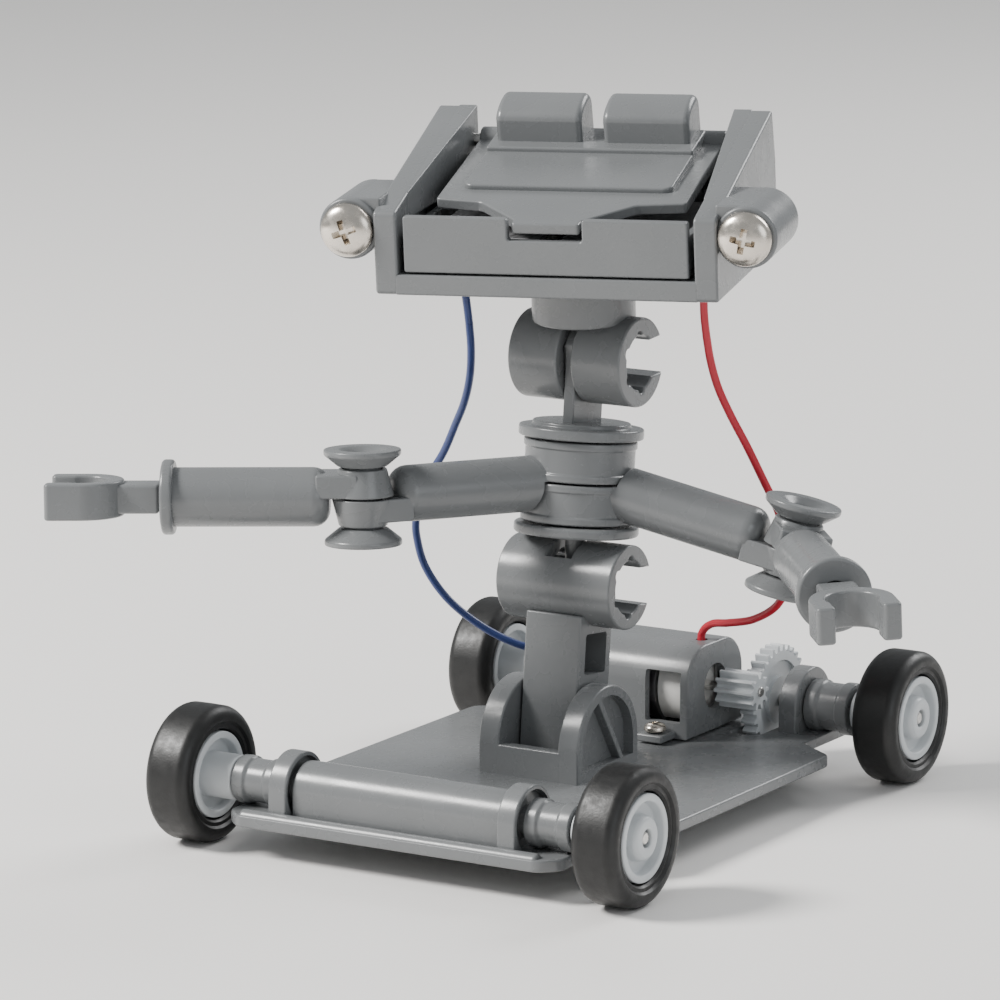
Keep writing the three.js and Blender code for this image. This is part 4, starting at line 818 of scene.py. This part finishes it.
COVER_HALF = MOTOR_D / 2 + 0.6 + COVER_WALL
COVER_RISE = MOTOR_FLAT / 2 + 0.5 + COVER_WALL
COVER_FOOT = PLATE_TOP + GAP
SCREW_PLACES = (("left", COVER_LEFT + 2.2), ("right", COVER_RIGHT - 4.4))
FOOT_SCREW_Y = MOTOR_Y - COVER_HALF - 2.2


def cover_section(inset, base):
    half, top, radius = COVER_HALF - inset, MOTOR_Z + COVER_RISE - inset, 5.4 - inset
    points = [(MOTOR_Y - half, base), (MOTOR_Y + half, base)]
    points += arc(MOTOR_Y + half - radius, top - radius, radius, 0, 90, 14)
    return points + arc(MOTOR_Y - half + radius, top - radius, radius, 90, 180, 14)


def motor_cover():
    body = slab(cover_section(0, COVER_FOOT), "X", COVER_LEFT, COVER_RIGHT, 0.45)
    inside = cover_section(COVER_WALL, COVER_FOOT - 1)
    hollow = slab(inside, "X", COVER_LEFT + COVER_WALL, COVER_RIGHT - COVER_WALL, 0)
    shaft_hole = rod(
        (COVER_RIGHT - 3, MOTOR_Y, MOTOR_Z), (COVER_RIGHT + 1, MOTOR_Y, MOTOR_Z), SHAFT_HOLE_D, 0
    )
    window = block(
        (MOTOR_FRONT_X - 0.6, MOTOR_Y - COVER_HALF - 1, MOTOR_Z - 4.4),
        (COVER_RIGHT - 1.4, MOTOR_Y - 3, MOTOR_Z + 3.4),
        0.3,
    )
    wire = rod((COVER_HOLE_X, MOTOR_Y, MOTOR_Z), (COVER_HOLE_X, MOTOR_Y, 30), WIRE_D + 0.6, 0, 24)
    side_wire = rod((COVER_LEFT - 1, MOTOR_Y, 15.5), (COVER_LEFT + 2.3, MOTOR_Y, 15.5), 1.8, 0, 24)
    shells = [carved(body, hollow, shaft_hole, window, wire, side_wire)]
    for _, x in SCREW_PLACES:
        foot = block(
            (x - 2.2, MOTOR_Y - COVER_HALF - 4.2, COVER_FOOT),
            (x + 2.2, MOTOR_Y - COVER_HALF + 0.6, COVER_FOOT + 1.2),
            0.3,
        )
        hole = rod((x, FOOT_SCREW_Y, 0), (x, FOOT_SCREW_Y, 20), 2.2, 0, 24)
        shells.append(carved(foot, hole))
    return joined(*shells)


piece("motor_cover_shown", "chassis", motor_cover(), ON_CHASSIS, grey)


def cross_cutter(span, width, depth):
    """A tapered cross that cuts a screw's recess, from z = 0 up."""
    bars = []
    for turn in (0, 90):
        bm = bmesh.new()
        bmesh.ops.create_cone(
            bm, cap_ends=True, segments=4, radius1=span * 0.32, radius2=span * 0.72, depth=depth
        )
        bmesh.ops.rotate(bm, matrix=Matrix.Rotation(math.radians(45), 3, "Z"), verts=bm.verts)
        bmesh.ops.scale(bm, vec=(1, width / span, 1), verts=bm.verts)
        bmesh.ops.rotate(bm, matrix=Matrix.Rotation(math.radians(turn), 3, "Z"), verts=bm.verts)
        bmesh.ops.translate(bm, vec=(0, 0, depth / 2), verts=bm.verts)
        bars.append(bm)
    return bars


def pan_screw(diameter, height, shank_d, shank_l, recess):
    """A pan-head screw that faces +Z, its head standing on z = 0."""
    radius = diameter / 2
    dome = [(0, 0), (radius - 0.12, 0), (radius, 0.15), (radius, height * 0.28)]
    for k in range(1, 9):
        turn = math.radians(90 * k / 8)
        dome.append((radius * math.cos(turn), height * (0.28 + 0.72 * math.sin(turn))))
    bars = cross_cutter(diameter * 0.62, diameter * 0.15, recess)
    cutters = [shifted(bar, 0, 0, height * 0.45) for bar in bars]
    head = carved(turned(dome, 72), *cutters)
    return joined(head, rod((0, 0, -shank_l), (0, 0, 0.3), shank_d, 0.2, 32))


for hand, x in SCREW_PLACES:
    base = COVER_FOOT + 1.2 + GAP
    screw = shifted(pan_screw(3.4, 1.3, 1.8, 0.01, 1.2), x, FOOT_SCREW_Y, base)
    piece(f"cover_screw_{hand}_shown", "chassis", screw, ON_CHASSIS, nickel)

# ------------------------------------------------------------------ leg, waist and neck

NOTCH_R = 0.8


def clip_outline(outer_d, skip=None):
    """A clip's section: a notched bore with a mouth to the rear, in (y, z).

    skip is the half angle about +Z of a slot through the upper wall."""
    outer, bore, half = outer_d / 2, BORE_D / 2, MOUTH / 2
    from_out, from_in = math.degrees(math.asin(half / outer)), math.degrees(math.asin(half / bore))
    start_out = 90 + skip if skip else from_out
    start_in = 90 + skip if skip else from_in
    points = arc(0, 0, outer, start_out, 360 - from_out, 56)
    steps = 110
    for k in range(steps + 1):
        angle = 360 - from_in + (start_in - (360 - from_in)) * k / steps
        off = math.radians((angle % 60) - 30)
        across = (bore - 0.2) * math.sin(off)
        reach = bore
        if abs(across) < NOTCH_R:
            reach = max(bore, (bore - 0.2) * math.cos(off) + math.sqrt(NOTCH_R**2 - across**2))
        points.append((reach * math.cos(math.radians(angle)), reach * math.sin(math.radians(angle))))
    return points


def cross_bar(half):
    """A bar along X with the ridges that click in a clip's notches."""
    base, ridge = (BAR_D - 0.7) / 2, 0.35
    points = []
    steps = 144
    for k in range(steps):
        off = math.radians((k * 360 / steps % 60) - 30)
        across = (base - 0.1) * math.sin(off)
        reach = base
        if abs(across) < ridge:
            reach = max(base, (base - 0.1) * math.cos(off) + math.sqrt(ridge**2 - across**2))
        angle = math.radians(k * 360 / steps)
        points.append((reach * math.cos(angle), reach * math.sin(angle)))
    return slab(points, "X", -half, half, 0.25)


SLOT_HALF, TILT_ROOM = 2.1, 52


def leg():
    foot = -(HIP_Z - PLATE_TOP - GAP) / math.cos(math.radians(LEAN))
    drop = math.tan(math.radians(LEAN))
    column_side = [
        (-LEG_FRONT, foot - drop * LEG_FRONT + 0.02),
        (LEG_BACK, foot + drop * LEG_BACK + 0.02),
        (LEG_BACK, -4.4),
        (-LEG_FRONT, -4.4),
    ]
    column = slab(column_side, "X", -LEG_W / 2, LEG_W / 2, 0.5, 0.3)
    opening = [(WINDOW_FRONT, WINDOW_LOW), (WINDOW_BACK, WINDOW_LOW)]
    opening += [(WINDOW_BACK, WINDOW_HIGH), (WINDOW_FRONT, WINDOW_HIGH)]
    window = slab(opening, "X", LEG_W / 2 - WINDOW_DEPTH, LEG_W, 0, 0.5)
    left = slab(clip_outline(HIP_D), "X", -HIP_HALF, -SLOT_HALF, 0.3)
    right = slab(clip_outline(HIP_D), "X", SLOT_HALF, HIP_HALF, 0.3)
    middle = slab(clip_outline(HIP_D - 0.04, TILT_ROOM), "X", -SLOT_HALF - 0.6, SLOT_HALF + 0.6, 0)
    return joined(carved(column, window), left, right, middle)


piece("leg_column_shown", "chassis", leg(), ON_HIP, grey)

FLANGE_TOP = FLANGE_LIFT + FLANGE_T
LOWER_RING = (FLANGE_TOP + GAP, FLANGE_TOP + GAP + RING_H)
UPPER_RING = (LOWER_RING[1] + GAP, LOWER_RING[1] + GAP + RING_H)
CAP_BASE = UPPER_RING[1] + GAP


def waist_base():
    flange = rod((0, 0, FLANGE_LIFT), (0, 0, FLANGE_TOP), FLANGE_D, 0.45, 96)
    stem = rod((0, 0, 0), (0, 0, FLANGE_LIFT + 0.5), STEM_D, 0, 32)
    spindle = rod((0, 0, FLANGE_TOP - 0.5), (0, 0, UPPER_RING[1]), SPINDLE_D, 0.2, 48)
    peg = rod((0, 0, UPPER_RING[1] - 0.5), (0, 0, CAP_BASE + 0.9), PEG_D, 0.2, 40)
    return joined(cross_bar(HIP_HALF - BAR_INSET), stem, flange, spindle, peg)


piece("waist_base_shown", "torso", waist_base(), ON_HIP, grey)


def waist_cap():
    foot = CAP_BASE + FLANGE_T
    bore = 2.8
    profile = [
        (bore, CAP_BASE),
        (FLANGE_D / 2, CAP_BASE),
        (FLANGE_D / 2, foot),
        (7.25, foot),
        (7.25, foot + 0.7),
        (0.01, foot + 0.7),
        (0.01, CAP_BASE + 1.3),
        (bore, CAP_BASE + 1.3),
    ]
    disc = turned(rounded_profile(profile, 0.35, 3), 96)
    tab_points = [(-4.2, foot - 0.3), (4.2, foot - 0.3), (4.2, NECK_RISE)]
    tab_points += arc(0, NECK_RISE, 5, 20, 160, 24) + [(-4.2, NECK_RISE)]
    tab = slab(tab_points, "X", -0.9, 0.9, 0.2)
    return joined(disc, tab, shifted(cross_bar(NECK_HALF - BAR_INSET), z=NECK_RISE))


piece("waist_cap_shown", "torso", waist_cap(), ON_HIP, grey)


def neck_bracket():
    pad_low, pad_high = 5.7, NECK_D / 2 + NECK_PAD_H
    left = slab(clip_outline(NECK_D), "X", -NECK_HALF, -1.2, 0.35)
    right = slab(clip_outline(NECK_D), "X", 1.2, NECK_HALF, 0.35)
    pad = rod((0, 0, pad_low), (0, 0, pad_high), NECK_PAD_D, 0.4, 72)
    peg = rod((0, 0, pad_high - 0.5), (0, 0, pad_high + 2.1), PEG_D, 0.3, 40)
    return joined(left, right, pad, peg)


piece("neck_bracket_shown", "neck", neck_bracket(), ON_NECK, grey)

# ------------------------------------------------------------------ arms


def shoulder_ring(low, high):
    """A thick ring with a shallow band round its outside."""
    outer, bore, middle = RING_D / 2, SPINDLE_D / 2 + 0.35, (low + high) / 2
    profile = [
        (bore, low),
        (outer, low),
        (outer, middle - 1.9),
        (outer - 0.25, middle - 1.7),
        (outer - 0.25, middle + 1.7),
        (outer, middle + 1.9),
        (outer, high),
        (bore, high),
    ]
    return turned(rounded_profile(profile, 0.3, 3), 96)


EYE_LOW, EYE_HIGH = GAP / 2, EYE_H + GAP / 2


def arm_tube(near, far, diameter):
    """A tube along X whose end towards the elbow at X = 0 is well rounded."""
    elbow_end = min(abs(near), abs(far))
    tube = rod((near, 0, 0), (far, 0, 0), diameter, 0)
    soften(tube, 2.4, 6, 50, lambda edge: abs(edge.verts[0].co.x) < elbow_end + 0.1)
    return soften(tube, 0.7, 4, 50, lambda edge: abs(edge.verts[0].co.x) > elbow_end + 1)


def upper_arm_tube():
    """The tube and its lower eye, X along the arm and the origin on the elbow axis."""
    tube = arm_tube(RING_D / 2 - 2.4 - UPPER_ARM_L, -4.7, UPPER_ARM_D)
    eye = rod((0, 0, -EYE_HIGH), (0, 0, -EYE_LOW), EYE_TIP_D, 0.2, 64, EYE_D)
    tongue = block((-6.5, -3.7, -EYE_HIGH + 0.6), (-0.5, 3.7, -EYE_LOW), 0.3)
    bore = rod((0, 0, -6), (0, 0, 1), PIN_D + 2 * GAP, 0, 48)
    flare_room = rod((0, 0, -12), (0, 0, -EYE_HIGH - GAP), ELBOW_D + 0.8, 0, 64)
    return carved(fused(tube, tongue, eye), bore, flare_room)


def elbow_pin():
    """A hollow rivet with flared ends."""
    half, face = ELBOW_H / 2, EYE_HIGH + GAP
    bore, waist, outer = ELBOW_BORE_D / 2, EYE_TIP_D / 2, ELBOW_D / 2
    profile = [
        (bore, -half + 0.9),
        (bore + 1.5, -half),
        (outer, -half),
        (outer, -half + 0.8),
        (waist, -face),
        (PIN_D / 2, -face),
        (PIN_D / 2, face),
        (waist, face),
        (outer, half - 0.8),
        (outer, half),
        (bore + 1.5, half),
        (bore, half - 0.9),
    ]
    return turned(rounded_profile(profile, 0.25, 3), 72)


def forearm():
    """The tube with its wrist collar and upper eye, X along the forearm."""
    tube = arm_tube(4.7, FOREARM_L, FOREARM_D)
    lip_low, lip_high = FOREARM_L - RIM_COLLAR_T / 2, FOREARM_L + RIM_COLLAR_T / 2
    lip = rod((lip_low, 0, 0), (lip_high, 0, 0), RIM_COLLAR_D, 0.5, 64)
    eye = rod((0, 0, EYE_LOW), (0, 0, EYE_HIGH), EYE_D, 0.2, 64, EYE_TIP_D)
    tongue = block((0.5, -3.9, EYE_LOW), (6.5, 3.9, EYE_HIGH - 0.6), 0.3)
    bore = rod((0, 0, -1), (0, 0, 6), PIN_D + 2 * GAP, 0, 48)
    wrist = rod((FOREARM_L - 5.3, 0, 0), (FOREARM_L + 3, 0, 0), 4.4, 0, 40)
    return carved(fused(tube, lip, tongue, eye), bore, wrist)


def claw_outline():
    """An open claw in (x, y): a round jaw with square finger ends."""
    outer, inner = HAND_W / 2, HAND_W / 2 - HAND_WALL
    centre, tip = FOREARM_L + HAND_L - CLAW_BACK, FOREARM_L + HAND_L
    lip = inner - 0.4
    meet = math.degrees(math.asin(lip / inner))
    points = [(centre + x, y) for x, y in arc(0, 0, outer, 90, 270, 40)]
    points += [(tip, -outer), (tip, -lip)]
    points += [(centre + x, y) for x, y in arc(0, 0, inner, 360 - meet, meet, 44)]
    return points + [(tip, lip), (tip, outer)]


def hand():
    face = FOREARM_L + RIM_COLLAR_T / 2 + GAP
    claw = slab(claw_outline(), "Z", -HAND_T / 2, HAND_T / 2, 0.4, 0.7)
    stem_end = FOREARM_L + HAND_L - CLAW_BACK - (HAND_W / 2 - HAND_WALL) - 0.5
    half_w, half_t = HAND_STEM_W / 2, HAND_STEM_T / 2
    stem = block((face, -half_w, -half_t), (stem_end, half_w, half_t), 0.45)
    peg = rod((FOREARM_L - 5, 0, 0), (face + 0.6, 0, 0), 3.8, 0.2, 40)
    return joined(claw, stem, peg)


for side, ring in (("left", UPPER_RING), ("right", LOWER_RING)):
    on_arm, on_forearm = arm_places(side)
    shoulder = moved(shoulder_ring(*ring), ON_HIP)
    tube = moved(upper_arm_tube(), on_arm)
    flanges = []
    for low, high in ((FLANGE_LIFT - 1, FLANGE_TOP + GAP), (CAP_BASE - GAP, CAP_BASE + 4)):
        flanges.append(moved(rod((0, 0, low), (0, 0, high), FLANGE_D + 0.8, 0, 64), ON_HIP))
    other = UPPER_RING if side == "right" else LOWER_RING
    flanges.append(
        moved(rod((0, 0, other[0] - GAP), (0, 0, other[1] + GAP), RING_D + 0.8, 0, 64), ON_HIP)
    )
    both = joined(shoulder, carved(tube, *flanges))
    piece(f"{side}_upper_arm_shown", f"{side}_shoulder", both, Matrix.Identity(4), grey)
    piece(f"{side}_elbow_pin_shown", f"{side}_shoulder", elbow_pin(), on_arm, grey)
    piece(f"{side}_forearm_shown", f"{side}_lower_arm", forearm(), on_forearm, grey)
    rolled = on_forearm @ Matrix.Rotation(math.radians(WRIST_ROLL[side]), 4, "X")
    piece(f"{side}_hand_shown", f"{side}_claw", hand(), rolled, grey)

# ------------------------------------------------------------------ head

SIDE_IN = HEAD_W / 2 - SIDE_T
WING_FRONT, WING_BACK, WING_THICK, WING_FOOT = -13.4, 15.7, 2.4, 9.8


def head_side():
    """The right cheek with its sloping wing."""
    z = HEAD_FLOOR
    points = [
        (HEAD_FRONT, z),
        (HEAD_BACK, z),
        (HEAD_BACK, z + BACK_H),
        (WING_BACK, z + SIDE_BACK_H),
        (WING_FRONT, z + SIDE_FRONT_H),
        (HEAD_FRONT, z + SIDE_FRONT_H - 1.6),
    ]
    return slab(points, "X", SIDE_IN, HEAD_W / 2, 0.4, 0.7)


def wing_pad():
    """The wedge that thickens the right wing inwards, more towards its back."""
    low = HEAD_FLOOR + WING_FOOT
    plan = [
        (SIDE_IN + 0.4, WING_FRONT),
        (SIDE_IN + 0.4, WING_BACK),
        (SIDE_IN - WING_THICK, WING_BACK),
        (SIDE_IN, WING_FRONT),
    ]
    slope = (SIDE_BACK_H - SIDE_FRONT_H) / (WING_BACK - WING_FRONT)
    wedge = slab(plan, "Z", low, HEAD_FLOOR + SIDE_BACK_H, 0)
    for vert in wedge.verts:
        if vert.co.z > low + 0.1:
            vert.co.z = HEAD_FLOOR + SIDE_FRONT_H + slope * (vert.co.y - WING_FRONT)
    return soften(wedge, 0.35)


def screw_boss():
    """The right boss: a round post beside the head, tied to it by a web."""
    front, back = HEAD_FRONT + BOSS_SET_BACK, HEAD_FRONT + BOSS_L
    post = rod((SCREW_X, front, SCREW_Z), (SCREW_X, back, SCREW_Z), BOSS_D, 0.45, 64)
    web = block(
        (HEAD_W / 2 - 0.6, HEAD_FRONT + 2, SCREW_Z - 2.2), (SCREW_X, back - 0.1, SCREW_Z + 4.45), 0.3
    )
    hole = rod((SCREW_X, HEAD_FRONT - 1, SCREW_Z), (SCREW_X, HEAD_FRONT + 9, SCREW_Z), SCREW_D + 2 * GAP, 0, 40)
    return carved(fused(post, web), hole)


def head_frame():
    low, back_in = HEAD_FLOOR, HEAD_BACK - 1.6
    inner = SIDE_IN + 0.5
    floor = block((-inner, HEAD_FRONT, low), (inner, HEAD_BACK, low + RAIL_H), 0.35)
    wires = [rod((x, -1, 0), (x, -1, 40), WIRE_D + 0.6, 0, 24) for x in (-18.5, 18.5)]
    floor = carved(floor, *wires, rod((0, 0, 0), (0, 0, low + 2.1), 5.6, 0, 40))
    back = block((-inner, back_in, low), (inner, HEAD_BACK, low + BACK_H), 0.3)
    shells = [floor, back]
    for shape in (head_side, wing_pad, screw_boss):
        shells += [shape(), mirrored_x(shape())]
    return joined(*shells)


piece("head_frame_shown", "head", head_frame(), ON_HEAD, grey)

TRAY_LOW, TRAY_HALF, TRAY_WALL = HEAD_FLOOR + RAIL_H + GAP, SIDE_IN - 0.9, 1.2
TRAY_FRONT, TRAY_BACK, TRAY_HIGH = HEAD_FRONT + 0.3, HEAD_BACK - 4.6, 6
PANEL_H, PANEL_T, NOTCH_W, NOTCH_DEPTH = 8.2, 1.6, 11, 3.2


def cell_tray():
    """An open tray in two bays with a tall notched front panel."""
    top = TRAY_LOW + PANEL_H
    half_notch, sill = NOTCH_W / 2, top - NOTCH_DEPTH
    panel_face = [
        (TRAY_LOW, -TRAY_HALF),
        (TRAY_LOW, TRAY_HALF),
        (top, TRAY_HALF),
        (top, half_notch),
        (sill, half_notch),
        (sill, -half_notch),
        (top, -half_notch),
        (top, -TRAY_HALF),
    ]
    panel = slab(panel_face, "Y", TRAY_FRONT, TRAY_FRONT + PANEL_T, 0.3, 0.4)
    shells = [panel]
    deep = TRAY_FRONT + 0.4
    shells.append(
        block((-TRAY_HALF, deep, TRAY_LOW), (TRAY_HALF, TRAY_BACK, TRAY_LOW + TRAY_WALL), 0.15)
    )
    for x in (-TRAY_HALF, -TRAY_WALL / 2, TRAY_HALF - TRAY_WALL):
        high = TRAY_LOW + TRAY_HIGH - (NOTCH_DEPTH if abs(x) < 1 else 0)
        shells.append(block((x, deep, TRAY_LOW), (x + TRAY_WALL, TRAY_BACK, high), 0.15))
    shells.append(
        block(
            (-TRAY_HALF, TRAY_BACK - TRAY_WALL, TRAY_LOW),
            (TRAY_HALF, TRAY_BACK, TRAY_LOW + TRAY_HIGH),
            0.15,
        )
    )
    return joined(*shells)


piece("cell_tray_shown", "head", cell_tray(), ON_HEAD, grey)

# Carbon, felt and magnesium lie on each other in both bays, each a little smaller.
CELL_STACK = (
    ("carbon_plate", 0.8, carbon),
    ("felt_pad", 1.2, felt),
    ("magnesium_plate", 0.6, magnesium),
)
for hand, side in SIDES:
    level = TRAY_LOW + TRAY_WALL + GAP
    for i, (layer, thick, finish) in enumerate(CELL_STACK):
        inset = 0.3 * i
        near, far = sorted(
            (side * (TRAY_WALL / 2 + GAP + inset), side * (TRAY_HALF - TRAY_WALL - GAP - inset))
        )
        sheet = block(
            (near, TRAY_FRONT + PANEL_T + GAP + 0.6 + inset, level),
            (far, TRAY_BACK - TRAY_WALL - GAP - inset, level + thick),
            0.12 if layer != "felt_pad" else 0.35,
        )
        made = piece(f"{hand}_{layer}_shown", "head", sheet, ON_HEAD, finish)
        level += thick + GAP

LID_T, BLOCK_W, BLOCK_GAP, BLOCK_H, BLOCK_L = 1.6, 13, 3.2, 7.3, 7.6


def lid_block():
    """The right grip block: a cushion-like lug whose domed top rises to the rear."""
    back = 1.4
    front, top = back - BLOCK_L, BLOCK_H + LID_T / 2 - 0.25
    brow = top * 0.68
    points = [(front, 0), (back, 0), *arc(back - 2.2, top - 2.2, 2.2, 0, 90, 8)]
    rise = top - brow
    for k in range(1, 11):
        turn = math.radians(90 * k / 10)
        points.append((back - 2.2 - (BLOCK_L - 2.2) * math.sin(turn), brow + rise * math.cos(turn)))
    return slab(points, "X", BLOCK_GAP / 2, BLOCK_GAP / 2 + BLOCK_W, 0.9, 0, 5)


def cell_lid():
    """The lid with its tongue, raised shelf and two blocks, in the lid's sloping frame."""
    half, tongue_half = SIDE_IN - WING_THICK - 0.9, 5
    tongue_y, front = HEAD_FRONT + 0.3 - HINGE_Y, HEAD_FRONT + 3.4 - HINGE_Y
    shoulder = front + 5
    plan = [(-tongue_half, tongue_y), (tongue_half, tongue_y), (tongue_half, front - 1.4)]
    plan += [(half - 7, shoulder), (half, shoulder + 1), (half, 1.4), (-half, 1.4)]
    plan += [(-half, shoulder + 1), (7 - half, shoulder), (-tongue_half, front - 1.4)]
    plate = slab(plan, "Z", -LID_T / 2, LID_T / 2, 0.3, 0.5)
    edge, near, far = half - 3, shoulder + 4.6, 1.2
    shelf = [(-edge, near), (edge, near), (edge, far), (-edge, far)]
    raised = slab(shelf, "Z", LID_T / 2 - 0.3, LID_T / 2 + 0.8, 0.35, 1.4)
    barrel = rod((-half, 0, 0), (half, 0, 0), BARREL_D, 0.3, 48)
    pin_hole = rod((-HEAD_W, 0, 0), (HEAD_W, 0, 0), HINGE_D + 2 * GAP, 0, 32)
    ledge_half, ledge_top = BLOCK_GAP / 2 + BLOCK_W + 1, LID_T / 2 + 1.5
    ledge = block((-ledge_half, -BLOCK_L - 1, LID_T / 2), (ledge_half, 0, ledge_top), 0.35)
    return joined(plate, raised, ledge, lid_block(), mirrored_x(lid_block()), carved(barrel, pin_hole))


piece("cell_lid_shown", "lid", cell_lid(), ON_LID, grey)
pin = rod((0.4 - HEAD_W / 2, HINGE_Y, HINGE_Z), (HEAD_W / 2 - 0.4, HINGE_Y, HINGE_Z), HINGE_D, 0.3, 32)
piece("lid_hinge_pin_shown", "head", pin, ON_HEAD, steel)

for (hand, side), turn in zip(SIDES, (18, -12)):
    screw = pan_screw(SCREW_HEAD_D, 2.4, SCREW_D, 9, 2)
    facing = Matrix.Rotation(math.radians(90), 4, "X")
    moved(screw, facing @ Matrix.Rotation(math.radians(turn), 4, "Z"))
    screw = shifted(screw, side * SCREW_X, HEAD_FRONT + BOSS_SET_BACK - GAP, SCREW_Z)
    piece(f"{hand}_terminal_screw_shown", "head", screw, ON_HEAD, nickel)

# ------------------------------------------------------------------ stage


def add_stage():
    bpy.ops.mesh.primitive_plane_add(size=8, location=(0, 0, 0))
    floor = bpy.context.object
    floor.name = "floor"
    cloth = new_finish("pale_floor", (0.90, 0.88, 0.86), 0.6)
    floor.data.materials.append(cloth)


def add_light(name, place, size, power, colour=(1, 1, 1)):
    data = bpy.data.lights.new(name, "AREA")
    data.shape, data.size, data.energy, data.color = "DISK", size, power, colour
    lamp = bpy.data.objects.new(name, data)
    lamp.location = place
    lamp.rotation_euler = (Vector((0, 0, 0.05)) - Vector(place)).to_track_quat("-Z", "Y").to_euler()
    bpy.context.scene.collection.objects.link(lamp)


add_stage()
add_light("key", (-0.55, -0.45, 0.65), 0.3, 15, (1, 0.985, 0.96))
add_light("fill", (0.9, -0.35, 0.35), 0.6, 1.8, (0.93, 0.97, 1))
add_light("rim", (0.25, 0.8, 0.6), 0.5, 6)
world = bpy.data.worlds.new("studio")
world.use_nodes = True
world.node_tree.nodes["Background"].inputs["Color"].default_value = (0.88, 0.91, 0.93, 1)
world.node_tree.nodes["Background"].inputs["Strength"].default_value = 0.5
bpy.context.scene.world = world
